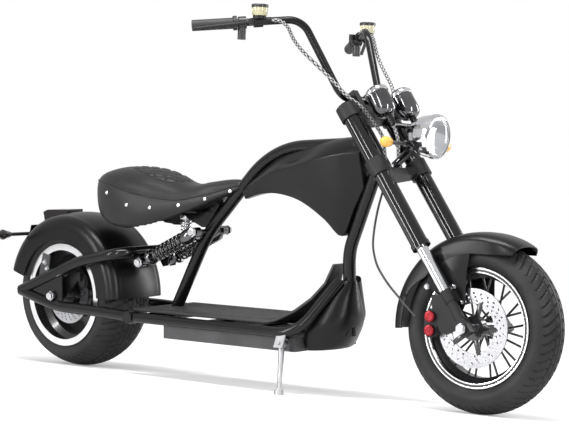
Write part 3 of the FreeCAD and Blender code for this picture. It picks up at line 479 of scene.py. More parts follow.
def park(piece, body, material, place=None, angle=35.0):
    """Carry a drawn piece to where it is parked, give it its finish and let it ride on its body."""
    settle(piece)
    piece.data.transform(place or PARKED)
    piece.data.materials.clear()
    piece.data.materials.append(material)
    bpy.ops.object.shade_smooth_by_angle(angle=math.radians(angle))
    piece.data.name = piece.name
    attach(piece, body)
    print("made", piece.name, len(piece.data.polygons), "faces, rides on", body)
    return piece


def smooth_rows(rows, steps):
    """Rows of a form with smooth rows set between them."""
    filled = []
    for index in range(len(rows) - 1):
        before = rows[max(index - 1, 0)]
        a = rows[index]
        b = rows[index + 1]
        after = rows[min(index + 2, len(rows) - 1)]
        for step in range(steps):
            t = step / steps
            row = []
            for p, q, r, s in zip(before, a, b, after):
                bend = (2 * p - 5 * q + 4 * r - s) * t * t + (3 * q - p - 3 * r + s) * t * t * t
                row.append(q + ((r - p) * t + bend) / 2)
            filled.append(tuple(row))
    return filled + [rows[-1]]


print("helpers ready")

# %% [markdown]
# The saddle is the softest piece: a foam pad under leather on a steel pan, with a piped edge, a quilted
# top and a skirt held by dome rivets. The form is bridged over measured ribs, remeshed evenly, and then
# blown up a little as cloth, so that the leather looks filled. Its quilting comes after that, because
# a remesh wipes out fine lines.

# %% Saddle form
SADDLE = [
    # x, half width, bottom, height of the piping, top
    (-692.0, 26.0, 566.0, 590.0, 602.0),
    (-680.0, 62.0, 540.0, 606.0, 620.0),
    (-655.0, 96.0, 508.0, 618.0, 638.0),
    (-610.0, 125.0, 482.0, 616.0, 652.0),
    (-552.0, 140.0, 467.0, 607.0, 658.0),
    (-480.0, 138.0, 463.0, 588.0, 655.0),
    (-425.0, 127.0, 470.0, 577.0, 645.0),
    (-375.0, 112.0, 485.0, 570.0, 628.0),
    (-317.0, 91.0, 503.0, 563.0, 606.0),
    (-255.0, 70.0, 533.0, 573.0, 604.0),
    (-184.0, 49.0, 564.0, 590.0, 624.0),
    (-130.0, 37.0, 588.0, 606.0, 636.0),
    (-84.0, 29.0, 604.0, 616.0, 638.0),
]
PIPE_SHARE = 0.87         # where the piping runs, as a share of the half width
PAN = [(-660, 70), (-600, 109), (-440, 109), (-300, 71), (-250, 51)]
PAN_TOP = 528.5


def saddle_ring(row):
    """One rib of the saddle: skirt, belly, piping line and crowned top."""
    x, half, bottom, side, top = row
    pipe = half * PIPE_SHARE
    near = [(-half * 0.5, bottom + 2), (-half * 0.9, bottom), (-half * 0.97, bottom * 0.7 + side * 0.3),
            (-half, bottom * 0.4 + side * 0.6), (-half * 0.95, side - 5)]
    crown = []
    for step in range(13):
        turn = math.pi * step / 12
        crown.append((-pipe * math.cos(turn), side + (top - side) * math.sin(turn) ** 0.85))
    far = [(-across, height) for across, height in reversed(near)]
    return [(x, across, height) for across, height in near + crown + far]


saddle = skin("saddle", [saddle_ring(row) for row in SADDLE])
pan_near = [(x, -half) for x, half in PAN]
pan_far = [(x, half) for x, half in reversed(PAN)]
hollow = skin("hollow", [[(x, y, z) for x, y in pan_near + pan_far] for z in (420.0, PAN_TOP)])
modify(saddle, "SUBSURF", levels=2, render_levels=2)
modify(saddle, "BOOLEAN", operation="DIFFERENCE", object=hollow, solver="EXACT")
bpy.data.objects.remove(hollow)
modify(saddle, "REMESH", mode="VOXEL", voxel_size=5.0 * MM)
print("saddle form has", len(saddle.data.vertices), "points")

# %% [markdown]
# The cloth run fills the pad. Pressure pushes the leather out, gravity is off, and no point may move
# further than a foam pad gives: most on the top, hardly at all on the skirt.

# %% Blowing up the saddle
TOP_GIVE = 7.0            # mm that a point of the top may move
SKIRT_GIVE = 1.5
SKIRT_HEIGHT = 560.0      # mm over the ground, where the skirt's give ends
GIVE_SPAN = 50.0
PRESSURE = 4.0
RUN_FRAMES = 20


def blow_up(piece, top_give, skirt_give):
    alone(piece)
    drawn = [vertex.co.copy() for vertex in piece.data.vertices]
    cloth = piece.modifiers.new("cloth", "CLOTH")
    cloth.settings.use_pressure = True
    cloth.settings.uniform_pressure_force = PRESSURE
    cloth.settings.effector_weights.gravity = 0.0
    cloth.settings.quality = 4
    cloth.collision_settings.use_collision = False
    cloth.collision_settings.use_self_collision = False
    cloth.point_cache.frame_start = 1
    cloth.point_cache.frame_end = RUN_FRAMES
    for step in range(1, RUN_FRAMES + 1):
        bpy.context.scene.frame_set(step)
    bpy.ops.object.modifier_apply(modifier="cloth")
    bpy.context.scene.frame_set(1)
    for vertex, was in zip(piece.data.vertices, drawn):
        moved = vertex.co - was
        share = min(max((was.z / MM - SKIRT_HEIGHT) / GIVE_SPAN, 0.0), 1.0)
        give = (skirt_give + (top_give - skirt_give) * share) * MM
        if moved.length > give:
            vertex.co = was + moved.normalized() * give


blow_up(saddle, TOP_GIVE, SKIRT_GIVE)
modify(saddle, "SMOOTH", factor=0.5, iterations=3)
modify(saddle, "SUBSURF", levels=1, render_levels=1)
print("saddle is", round(saddle.dimensions.x, 3), "m long")

# %% [markdown]
# The quilted panel is sewn in diamonds. Points of the top sink along the sewn lines, deepest in the
# middle of each line, and the panel fades out towards its border seam.

# %% Quilting
PANEL_MIDDLE = (-448.0, 0.0)
PANEL_HALF = (120.0, 72.0)
DIAMOND = 52.0
DIAMOND_SLANT = 1.25
SLANTED_STEP = 1.6        # length of the slanted measure for a step across the line
SEAM_DEPTH = 3.6
SEAM_WIDTH = 4.5
STEEPEST = 0.35           # upward part of a normal that still belongs to the top


def line_depth(distance):
    """How deep a sewn line pulls, at a distance from it."""
    return math.exp(-(distance / SEAM_WIDTH) ** 2)


outwards = [vertex.normal.copy() for vertex in saddle.data.vertices]
for vertex, outward in zip(saddle.data.vertices, outwards):
    x = vertex.co.x / MM - PANEL_MIDDLE[0]
    y = vertex.co.y / MM - PANEL_MIDDLE[1]
    if outward.z < STEEPEST:
        continue
    edge = math.hypot(x / PANEL_HALF[0], y / PANEL_HALF[1])
    pull = line_depth((edge - 1.0) * PANEL_HALF[1])
    if edge < 1.0:
        for slant in (x + DIAMOND_SLANT * y, x - DIAMOND_SLANT * y):
            away = abs((slant / DIAMOND + 0.5) % 1.0 - 0.5) * DIAMOND / SLANTED_STEP
            pull = max(pull, line_depth(away))
    vertex.co -= outward * pull * SEAM_DEPTH * MM
saddle.data.update()
print("quilted panel", PANEL_HALF[0] * 2, "by", PANEL_HALF[1] * 2, "mm")

# %% [markdown]
# Leather has a pebbled grain, finer than a millimetre, and is shinier where it is rubbed. The grain is
# a Voronoi bump, and a cloudy noise moves the gloss.

# %% Leather and its piping
leather = finish_of("leather", (0.008, 0.008, 0.0085), (0.016, 0.016, 0.017), (0.34, 0.5),
                    patches=7.0, shine=0.3)
tree = leather.node_tree
pebbles = node_of(tree, "ShaderNodeTexVoronoi", Scale=620.0)
wire(tree, tree.nodes["Texture Coordinate"], "Object", pebbles, "Vector")
grain = tree.nodes["Bump"]
grain.inputs["Distance"].default_value = 0.0004
grain.inputs["Strength"].default_value = 0.5
wire(tree, pebbles, "Distance", grain, "Height")
park(saddle, "frame", leather, angle=60)
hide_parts("seat_cushion")

saddle_skin = BVHTree.FromPolygons([vertex.co for vertex in saddle.data.vertices],
                                   [tuple(face.vertices) for face in saddle.data.polygons])


def on_saddle(x, y, z):
    """The parked place and the outward normal nearest to an upright point."""
    return saddle_skin.find_nearest(PARKED @ (Vector((x, y, z)) * MM))[:2]


def thread(name, points, radius, closed=False, steps=4):
    """A round cord laid through points in metres, with a UV map along it and round it."""
    fresh()
    line = bpy.data.curves.new(name, "CURVE")
    line.dimensions = "3D"
    spline = line.splines.new("NURBS")
    spline.points.add(len(points) - 1)
    for knot, point in zip(spline.points, points):
        knot.co = (*point, 1.0)
    spline.order_u = 3
    spline.use_cyclic_u = closed
    spline.use_endpoint_u = not closed
    spline.resolution_u = steps
    line.bevel_depth = radius
    line.bevel_resolution = 3
    line.use_fill_caps = True
    piece = bpy.data.objects.new(name, line)
    bpy.context.scene.collection.objects.link(piece)
    alone(piece)
    bpy.ops.object.convert(target="MESH")
    return bpy.context.object


PIPING_RADIUS = 3.2
PIPING_PROUD = 1.04       # the piping is sought a little outside its line
saddle_rows = smooth_rows(SADDLE, 3)
near_line = [(row[0], -row[1] * PIPE_SHARE * PIPING_PROUD, row[3]) for row in saddle_rows]
far_line = [(x, -y, z) for x, y, z in reversed(near_line)]
piping_line = [on_saddle(*point)[0] for point in near_line + far_line]
piping = thread("saddle_piping", piping_line, PIPING_RADIUS * MM, closed=True)
park(piping, "frame", leather, Matrix.Identity(4), angle=60)

# %% [markdown]
# Six dome rivets hold the skirt on each side. One is modelled, from a short turned profile, and copies
# are turned to stand on the leather.

# %% Dome rivets
RIVETS = [
    # x, half width and height of a pair
    (-567, 130, 580), (-475, 138, 545), (-391, 114, 538), (-297, 84, 547), (-209, 58, 568), (-124, 37, 593),
]
RIVET_PROFILE = [(-1.0, 6.4), (0.6, 6.4), (2.2, 5.4), (3.4, 3.6), (4.0, 1.4), (4.1, 0.3)]
rivets = []
for x, half, z in RIVETS:
    for side in (-1, 1):
        spot, normal = on_saddle(x, side * half, z)
        rivets.append(lathe("rivet", spot / MM, normal, RIVET_PROFILE, 16))
rivets = join(rivets, "saddle_rivets")
park(rivets, "frame", chrome, Matrix.Identity(4), angle=50)

# %% [markdown]
# The sheet shell over the backbone is a soft wedge: a narrow top, shoulders that swell out, a crease
# along each side and a hollow belly. It is bridged over measured ribs with smooth ribs between them, and
# its sharp edges get a small bevel, because real sheet never ends in a knife edge.

# %% Body shell
SHELL = [
    # x, top, shoulder half width and height, crease half width and height, bottom half width and height
    (-84.0, 612.0, 13.0, 604.0, 20.0, 592.0, 9.0, 570.0),
    (-17.0, 657.0, 24.0, 640.0, 36.0, 622.0, 19.0, 588.0),
    (60.0, 703.0, 32.0, 678.0, 52.0, 654.0, 27.0, 592.0),
    (140.0, 728.0, 34.0, 692.0, 62.0, 672.0, 35.0, 580.0),
    (200.0, 743.0, 35.0, 713.0, 66.0, 685.0, 38.0, 557.0),
    (260.0, 754.0, 35.0, 736.0, 66.0, 700.0, 35.0, 520.0),
    (318.0, 762.0, 33.0, 748.0, 60.0, 712.0, 24.0, 474.0),
    (362.0, 764.0, 30.0, 753.0, 52.0, 716.0, 22.0, 556.0),
    (398.0, 760.0, 26.0, 750.0, 44.0, 716.0, 22.0, 618.0),
]


def shell_ring(row):
    x, top, shoulder, shoulder_z, half, crease, low, bottom = row
    waist = (half + low) / 2 - (half - low) * 0.12
    near = [(-low, bottom), (-waist, (bottom + crease) / 2), (-half, crease),
            (-(half + shoulder) / 2 - 1.5, (crease + shoulder_z) / 2 + 1), (-shoulder, shoulder_z),
            (-shoulder * 0.6, (shoulder_z + top * 2) / 3), (-5, top)]
    return [(x, side, z) for side, z in near + [(-side, z) for side, z in reversed(near)]]


shell = skin("shell", [shell_ring(row) for row in smooth_rows(SHELL, 4)])
modify(shell, "BEVEL", width=3.0 * MM, segments=3, limit_method="ANGLE", angle_limit=math.radians(28))
park(shell, "frame", body_paint, angle=32)
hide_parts("body_shell")

# %% [markdown]
# The cover at the foot of the down tube is a moulded nose, widest near the ground. It gets the same
# ribs and bridges as the shell.

# %% Front cover
COVER = [
    # height, half width, rear edge, front
    (140.0, 92.0, 243.0, 292.0),
    (150.0, 101.0, 243.0, 306.0),
    (180.0, 105.0, 243.0, 330.0),
    (225.0, 98.0, 255.0, 354.0),
    (290.0, 64.0, 284.0, 353.0),
    (335.0, 34.0, 300.0, 351.0),
    (345.0, 27.0, 308.0, 350.0),
]
NOSE_STEPS = 16
NOSE_BLUNT = 0.95         # 1 is an ellipse, less is blunter


def cover_ring(row):
    z, half, back, front = row
    nose = []
    for step in range(NOSE_STEPS + 1):
        turn = math.pi * step / NOSE_STEPS
        nose.append((back + (front - back) * math.sin(turn) ** NOSE_BLUNT, -half * math.cos(turn), z))
    return nose


cover = skin("cover", [cover_ring(row) for row in smooth_rows(COVER, 3)])
modify(cover, "BEVEL", width=3.0 * MM, segments=2, limit_method="ANGLE", angle_limit=math.radians(50))
park(cover, "frame", body_paint, angle=40)
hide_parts("front_cover")

# %% [markdown]
# The footboard is one moulding with a ribbed mat. Its flat part lies on the rails, and its front end
# sweeps up and narrows to the down tube. The ribs are one bar, repeated by an array.

# %% Footboard and its ribs
SWEEP = [
    # x and z of the upper face, half width
    (-447.0, 222.0, 134.0), (-440.0, 222.0, 137.0), (120.0, 222.0, 137.0), (150.0, 230.0, 130.0),
    (190.0, 256.0, 92.0), (228.0, 292.0, 62.0), (258.0, 335.0, 36.0), (282.0, 392.0, 24.0),
]
BOARD_WALL = 9.0


def board_ring(index):
    x, z, half = SWEEP[index]
    before = SWEEP[max(index - 1, 0)]
    after = SWEEP[min(index + 1, len(SWEEP) - 1)]
    run = Vector((after[0] - before[0], 0, after[1] - before[1])).normalized()
    down = Vector((run.z, 0, -run.x)) * BOARD_WALL
    upper = [(x, -half, z), (x, -half * 0.5, z), (x, half * 0.5, z), (x, half, z)]
    lower = [(x + down.x, side, z + down.z) for side in (half, half * 0.5, -half * 0.5, -half)]
    return upper + lower


board = skin("board", [board_ring(index) for index in range(len(SWEEP))])
modify(board, "BEVEL", width=2.5 * MM, segments=2, limit_method="ANGLE", angle_limit=math.radians(50))
park(board, "frame", board_rubber, angle=40)
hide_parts("footboard")

RIB_PITCH = 15.0
RIB_COUNT = 15
RIB_SIZE = (0.52, 0.0075, 0.0035)
first_rib = Vector((-160, -RIB_PITCH * (RIB_COUNT - 1) / 2, 222.6))
fresh()
bpy.ops.mesh.primitive_cube_add(size=1.0, location=first_rib * MM, scale=RIB_SIZE)
ribs = bpy.context.object
ribs.name = "mat_ribs"
settle(ribs)
modify(ribs, "BEVEL", width=1.2 * MM, segments=2)
modify(ribs, "ARRAY", count=RIB_COUNT, use_relative_offset=False, use_constant_offset=True,
       constant_offset_displace=(0, RIB_PITCH * MM, 0))
park(ribs, "frame", board_rubber, angle=40)

# %% [markdown]
# The lamp is a chromed bowl turned on a lathe, hollow in front, with a faceted reflector behind a
# domed clear glass. Few sides and flat shading make the facets, and a bulb stands in the middle.

# %% Headlamp
LAMP = Vector((636, 0, 767))
LAMP_BACK = Vector((548, 0, 772))
lamp_line = (LAMP - LAMP_BACK).normalized()
BOWL = [(-6, 20), (-3, 27), (6, 38), (20, 48), (38, 56), (58, 60), (72, 61.5), (74, 64), (86, 64),
        (89, 62.5), (89, 58.5), (60, 55), (58, 4)]
DISH = [(82, 58), (76, 54), (79, 50), (67, 46), (70, 42), (58, 38), (61, 34), (50, 30), (52, 26), (43, 22),
        (38, 12)]
BULB = [(38, 9), (52, 9), (56, 12), (70, 12), (76, 9), (79, 4)]
GLASS = [(85, 57), (91, 57), (97, 50), (101, 38), (104, 22), (105, 6)]
POST_RADIUS = 12
post_foot = on_fork(548, -6)
post_span = Vector((566, 0, 745)) - post_foot
bowl = lathe("lamp_bowl", LAMP_BACK, lamp_line, BOWL, 30)
park(bowl, "fork", chrome, TURNED, angle=8)
post_steps = [(0, POST_RADIUS), (post_span.length, POST_RADIUS)]
lamp_post = lathe("lamp_post", post_foot, post_span, post_steps, 24)
park(lamp_post, "fork", black_chrome, TURNED)
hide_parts("headlamp")
dish = lathe("lamp_reflector", LAMP_BACK, lamp_line, DISH, 24)
park(dish, "fork", chrome, TURNED, angle=8)
bulb = lathe("lamp_bulb", LAMP_BACK, lamp_line, BULB, 24)
park(bulb, "fork", chrome, TURNED)
glass = lathe("lamp_glass", LAMP_BACK, lamp_line, GLASS, 64)
park(glass, "fork", lens_glass, TURNED, angle=60)
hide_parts("headlamp_lens")

# %% [markdown]
# Two gauges stand on the fork like jars: a dark chromed can, a bright ring, and a domed dark glass.

# %% Gauges
CAN = [(0, 11), (3, 20), (10, 28), (24, 32.5), (60, 33), (74, 33)]
CAN_RING = [(72, 33.5), (73, 35.5), (79, 36), (83, 35), (84, 32)]
CAN_GLASS = [(80, 32.5), (84, 32), (90, 28), (95, 19), (97, 6)]
smoked_glass = finish_of("smoked_glass", (0.01, 0.01, 0.011), (0.02, 0.02, 0.022), (0.02, 0.05),
                         grain=200.0, depth=0.00005, bump=0.05, coat=1.0)
cans = []
rings = []
domes = []
for side in (-62, 62):
    foot = on_fork(654, 86, side)
    cans.append(lathe("can", foot, LEG, CAN, 40))
    rings.append(lathe("ring", foot, LEG, CAN_RING, 40))
    domes.append(lathe("dome", foot, LEG, CAN_GLASS, 40))
cans = park(join(cans, "gauge_cans"), "fork", black_chrome, TURNED)
rings = park(join(rings, "gauge_rings"), "fork", chrome, TURNED)
domes = park(join(domes, "gauge_glasses"), "fork", smoked_glass, TURNED, angle=60)
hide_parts("gauges")

# %% [markdown]
# A shock is a damper inside a coil spring. The coil is a small ring of wire carried round and along its
# axis by a Screw modifier, which is how spring wire is wound.

# %% Shocks with coil springs
def coil(name, low, high, radius, wire_radius, turns):
    """A coil spring between two points."""
    fresh()
    span = high - low
    bpy.ops.mesh.primitive_circle_add(vertices=12, radius=wire_radius * MM, location=(radius * MM, 0, 0),
                                      rotation=(math.radians(90), 0, 0))
    spring = bpy.context.object
    spring.name = name
    settle(spring)
    modify(spring, "SCREW", axis="Z", angle=2 * math.pi, iterations=turns, steps=28, render_steps=28,
           screw_offset=span.length * MM / turns, use_normal_calculate=True)
    open_mesh(spring)
    close_mesh()
    spring.rotation_euler = turn_to(span)
    spring.location = low * MM
    settle(spring)
    return spring


SHOCK_TOP = Vector((-241, 60, 466))
SHOCK_FOOT = Vector((-480, 60, 360))
shock_line = (SHOCK_TOP - SHOCK_FOOT).normalized()
SHOCK_REACH = (SHOCK_TOP - SHOCK_FOOT).length
LOWER_END = [(12, 7), (40, 7), (40, 25), (46, 25.5), (52, 23), (52, 12)]
UPPER_END = [(64, 12), (64, 7), (52, 7), (52, 22), (46, 23.5), (26, 22), (12, 13)]     # from the upper eye
damper_steps = LOWER_END + [(SHOCK_REACH - distance, radius) for distance, radius in UPPER_END]
damper = lathe("damper", SHOCK_FOOT, shock_line, damper_steps, 40)
eyes = []
for point, hole in ((SHOCK_FOOT, 6.2), (SHOCK_TOP, 7.2)):
    eyes.append(band("eye", point, [(hole, -11), (14, -11), (14, 11), (hole, 11)], 32))
damper = join([damper] + eyes, "damper_left")
spring_low = SHOCK_FOOT + shock_line * 54
spring_high = SHOCK_FOOT + shock_line * (SHOCK_REACH - 55)
spring = coil("spring_left", spring_low, spring_high, 20.0, 3.4, 8)
other_damper = far_twin(damper, "damper_right")
other_spring = far_twin(spring, "spring_right")
spring_black = finish_of("spring_black", (0.004, 0.004, 0.0045), (0.008, 0.008, 0.009),
                         (0.10, 0.18), coat=0.8, depth=0.00003, bump=0.05)
for piece, node in ((damper, "shock_left"), (other_damper, "shock_right")):
    park(piece, "frame", black_chrome)
    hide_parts(node)
for piece in (spring, other_spring):
    park(piece, "frame", spring_black, angle=60)

# %% [markdown]
# The saddle stands on one short coil, between a cup on the frame and a head under the pan.

# %% Saddle spring
CUP = Vector((-344, 0, 441.3))
POST = [(0, 22), (8, 22), (10, 20), (10, 7), (58, 7), (58, 19), (62, 20), (69.5, 19)]
post = lathe("spring_post", CUP, UP, POST, 32)
seat_coil = coil("saddle_spring", CUP + UP * 13, CUP + UP * 56, 15.0, 3.0, 4)
park(post, "frame", steel)
park(seat_coil, "frame", chrome, angle=60)
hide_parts("seat_spring")

# %% [markdown]
# The front mudguard is pressed sheet: a crowned top, round shoulders, and side walls whose lower edge
# runs straight to the tip, and drops to a wing in front of the leg. The section is laid out at many
# turns of the wheel and bridged, with a wall depth that changes on the way. The wing is a flat plate.

# %% Front mudguard
GUARD_TIP = 60.5          # degrees from straight ahead
GUARD_TAIL = 183.5
GUARD_STEPS = 42
GUARD_WALL = 3.0
GUARD_HALF = 78.0
SHOULDER = [(247.0, 74.0), (255.0, 66.0), (261.0, 54.0), (265.0, 30.0), (266.0, 8.0)]     # radius and side
WALL_TOP = 238.0
EDGE_HEIGHT = 205.0       # of the straight lower edge, over the axle
WING_EDGE = 204.0         # radius of the lower edge over the wing
TAIL_EDGE = 226.0
WING_START = 93.0         # degrees
WING_END = 140.0
TAIL_RISE = 1.5           # mm for each degree past the wing
NOSE_START = 78.0         # degrees, where the nose begins to narrow
NOSE_SPAN = 20.0
NOSE_PINCH = 0.22


def wall_edge(turn):
    """Radius of the lower edge of the side wall, at a turn in degrees."""
    if turn < WING_START:
        return EDGE_HEIGHT / math.sin(math.radians(turn))
    if turn < WING_END:
        return WING_EDGE
    return min(WING_EDGE + (turn - WING_END) * TAIL_RISE, TAIL_EDGE)


def guard_ring(turn):
    """One closed section of the sheet: along its outside, and back along its inside."""
    low = wall_edge(turn)
    narrow = 1.0 - NOSE_PINCH * max(0.0, (NOSE_START - turn) / NOSE_SPAN) ** 2
    outer = [(low, GUARD_HALF), (low + 1 if low >= WALL_TOP else WALL_TOP, GUARD_HALF)] + SHOULDER
    inner = [(radius - (GUARD_WALL if side < 70 else 0), side - (GUARD_WALL if side > 60 else 0))
             for radius, side in outer]
    section = [(radius, -side) for radius, side in outer] + outer[::-1] + inner
    section += [(radius, -side) for radius, side in reversed(inner)]
    line = Vector((math.cos(math.radians(turn)), 0, math.sin(math.radians(turn))))
    return [FRONT_AXLE + line * radius + SIDE * side * narrow for radius, side in section]


turns = [GUARD_TIP + (GUARD_TAIL - GUARD_TIP) * step / GUARD_STEPS for step in range(GUARD_STEPS + 1)]
guard = skin("front_mudguard", [guard_ring(turn) for turn in turns])
WING = [(665, 352), (676, 392), (700, 442), (803, 446), (796, 400), (794, 360), (796, 306), (790, 291),
        (781, 284), (768, 290), (732, 311), (700, 330)]
WING_SIDES = (75.2, 78.0)
wings = []
for side in (-1, 1):
    wing = skin("wing", [[(x, side * reach, z) for x, z in WING] for reach in WING_SIDES])
    modify(wing, "BEVEL", width=1.2 * MM, segments=2, limit_method="ANGLE", angle_limit=math.radians(60))
    wings.append(wing)
guard = join([guard] + wings, "front_mudguard")
park(guard, "fork", body_paint, TURNED, angle=35)
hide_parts("front_fender")

# %% [markdown]
# The front signals are amber bottles on black stalks. The hard part is one piece, so two pieces stand for
# it, each with its own finish.

# %% Front signals
AMBER = [(0, 12), (4, 13.5), (16, 15), (28, 15), (36, 11), (42, 6), (44, 2)]
COLLAR = [(8, 6), (4, 11), (0, 12.5)]     # distance from the bottle, and radius
ambers = []
stalks = []
for side in (-1, 1):
    root = Vector((560, side * 132, 745))
    ambers.append(lathe("amber", root, Vector((0.1, side, 0)), AMBER, 24))
    start = Vector((556, side * 46.6, 745))
    reach = (root - start).length
    stalk_steps = [(0, 6)] + [(reach - distance, radius) for distance, radius in COLLAR]
    stalks.append(lathe("stalk", start, root - start, stalk_steps, 20))
ambers = park(join(ambers, "amber_bottles"), "fork", amber_plastic, TURNED, angle=60)
stalks = park(join(stalks, "signal_stalks"), "fork", switch_plastic, TURNED)
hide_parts("front_signals")

# %% [markdown]
# Brake fluid shows through the cups on the bar. Each has a black lid.

# %% Fluid cups
CUP_BASE = Vector((191.1, -270.2, 1093.2))
CUP_HEIGHT = 23
CUP_STEPS = [(0, 20), (3, 22), (21, 23), (CUP_HEIGHT, 23)]
LID_STEPS = [(0, 24), (7, 24.5), (9, 23), (10, 18)]
cups = []
lids = []
for side in (-1, 1):
    base = Vector((CUP_BASE.x, CUP_BASE.y * -side, CUP_BASE.z))
    cups.append(lathe("cup", base, UP, CUP_STEPS, 32))
    lids.append(lathe("lid", base + UP * CUP_HEIGHT, UP, LID_STEPS, 32))
cups = park(join(cups, "fluid_cups"), "fork", cup_plastic, TURNED, angle=50)
lids = park(join(lids, "cup_lids"), "fork", switch_plastic, TURNED)
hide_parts("reservoirs")

# %% [markdown]
# A road tyre is a smooth carcass with grooves moulded into its tread: a few run round it, and slanted
# sipes cross it towards the shoulders. The section is spun into a fine net, and points of the net sink
# where a groove runs. The crown stays where the hard tyre has it, so the wheel still meets the ground.

# %% Treaded tyres
FLANGE = 166.4
GROOVE_DEPTH = 4.5
SIPE_DEPTH = 5.0
SIPE_SHARE = 0.2          # of the way from one sipe to the next
SHOULDER_INSET = 13


def tyre_section(radius, crown, half, rim_half, points):
    """Outer section of a tyre from bead to bead, with even steps over the tread."""
    edge = half - SHOULDER_INSET
    drop = crown - math.sqrt(crown * crown - edge * edge)
    bead = rim_half - 4.2
    foot = FLANGE + 1
    wall = []
    for step in range(1, 8):
        belly = math.sin(math.pi * step / 8) ** 0.8
        pull = max(0.0, (step - 4) / 4) ** 2
        height = foot + (radius - drop - foot) * (step / 8)
        wall.append((height, bead + (half - bead) * belly + (edge - bead) * pull))
    tread = []
    for step in range(points + 1):
        side = -edge + 2 * edge * step / points
        tread.append((radius - crown + math.sqrt(crown * crown - side * side), side))
    near = [(FLANGE - 9, -bead), (foot, -bead)] + [(r, -min(side, half)) for r, side in wall]
    far = [(r, -side) for r, side in reversed(near)]
    return near + tread + far


def groove_at(turn, side, rings, ring_width, pitches, slant):
    """How deep the tread is cut at a turn and a side."""
    depth = GROOVE_DEPTH if any(abs(abs(side) - ring) < ring_width for ring in rings) else 0.0
    if abs(side) > rings[0] + 3:
        phase = (turn * pitches / (2 * math.pi) + abs(side) * slant + (0.5 if side > 0 else 0.0)) % 1.0
        if phase < SIPE_SHARE:
            depth = max(depth, SIPE_DEPTH)
    return depth


def treaded(name, centre, radius, crown, half, rim_half, points, pitches, rings, slant):
    """A tyre with ring grooves at given sides and slanted sipes over each shoulder."""
    piece = band(name, centre, tyre_section(radius, crown, half, rim_half, points), pitches * 8)
    edge = half - SHOULDER_INSET
    lowest = radius - (crown - math.sqrt(crown * crown - edge * edge)) - 0.5
    middle = centre * MM
    for vertex in piece.data.vertices:
        out = vertex.co - middle
        reach = math.hypot(out.x, out.z)
        if reach / MM < lowest:
            continue
        turn = math.atan2(out.z, out.x)
        shrink = 1 - groove_at(turn, out.y / MM, rings, edge / points * 1.05, pitches, slant) * MM / reach
        vertex.co.x = middle.x + out.x * shrink
        vertex.co.z = middle.z + out.z * shrink
    piece.data.update()
    return piece


REAR_RINGS = (8.0, 26.0, 46.0)
FRONT_RINGS = (5.0, 19.0)
rear_tyre = treaded("treaded_rear_tyre", REAR_AXLE, 238.0, 150.0, 105.0, 98.0, 46, 54, REAR_RINGS, 0.018)
front_tyre = treaded("treaded_front_tyre", FRONT_AXLE, 240.0, 72.0, 62.0, 50.0, 34, 54, FRONT_RINGS, 0.028)
park(rear_tyre, "rear_wheel", tyre_rubber, angle=24)
park(front_tyre, "front_wheel", tyre_rubber, TURNED, angle=24)
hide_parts("rear_tyre")
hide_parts("front_tyre")

# %% [markdown]
# The rims are black, with polished lips. A lip is a thin band that hugs the flange: a wide one on the
# rear wheel, and two narrow ones on the front wheel.

# %% Polished rim lips
polished = finish_of("polished", (0.80, 0.80, 0.81), (0.92, 0.92, 0.93), (0.16, 0.28), metal=1.0,
                     depth=0.00004, bump=0.08)


def lip(name, centre, low, high, side, proud=0.7):
    out = math.copysign(proud, side)
    section = [(low, side), (high, side), (high, side + out), ((low + high) / 2, side + out * 1.6),
               (low, side + out)]
    return band(name, centre, section, 96)


rear_lips = [lip("rear_lip", REAR_AXLE, 146.0, FLANGE + 0.4, side) for side in (-98.0, 98.0)]
rear_lips = join(rear_lips, "rear_rim_lips")
front_lips = []
for side in (-50.0, 50.0):
    front_lips.append(lip("front_lip", FRONT_AXLE, 162.5, FLANGE + 0.4, side))
    front_lips.append(lip("front_inner_lip", FRONT_AXLE, 152.6, 156.0, side))
front_lips = join(front_lips, "front_rim_lips")
park(rear_lips, "rear_wheel", polished)
park(front_lips, "front_wheel", polished, TURNED)

# %% [markdown]
# Brake discs are drilled to shed water. The holes are real: small cutters are set round the disc in
# rows, joined, and taken out of it in one Boolean. A black carrier with five arms holds the disc.

# %% Drilled brake discs
HOLE_ROWS = [
    # radius of the row as a share of the disc, turn of its first hole in degrees
    (0.70, 0.0), (0.79, 4.0), (0.88, 8.0),
]
RING_SHARE = 0.62         # where the drilled ring begins, as a share of the disc
ARM_COUNT = 5


def drilled(name, centre, side, radius, count, hole):
    """A flat ring with rows of holes, and the carrier that holds it."""
    axis = centre + SIDE * side
    inner = radius * RING_SHARE
    disc = band(name, axis, [(inner, -2), (radius, -2), (radius, 2), (inner, 2)], 96)
    cutters = []
    for share, first in HOLE_ROWS:
        for index in range(count):
            turn = math.radians(first + 360 * index / count)
            spot = axis + Vector((math.cos(turn), 0, math.sin(turn))) * radius * share
            fresh()
            bpy.ops.mesh.primitive_cylinder_add(vertices=10, radius=hole * MM, depth=12 * MM,
                                                location=spot * MM, rotation=(math.radians(90), 0, 0))
            cutters.append(bpy.context.object)
    cutter = join(cutters, "cutter")
    modify(disc, "BOOLEAN", operation="DIFFERENCE", object=cutter, solver="EXACT")
    bpy.data.objects.remove(cutter)
    arms = [band("carrier", axis, [(8.3, -3), (34, -3), (34, 3), (8.3, 3)], 48)]
    for index in range(ARM_COUNT):
        turn = 2 * math.pi * index / ARM_COUNT
        reach = Vector((math.cos(turn), 0, math.sin(turn)))
        long = inner - 26
        fresh()
        bpy.ops.mesh.primitive_cube_add(size=1.0, location=(axis + reach * (30 + long / 2)) * MM,
                                        rotation=(0, -turn, 0), scale=((long + 8) * MM, 4.6 * MM, 16 * MM))
        arm = bpy.context.object
        settle(arm)
        modify(arm, "BEVEL", width=1.5 * MM, segments=2)
        arms.append(arm)
    disc.name = name
    return disc, join(arms, name.replace("drilled", "carried"))


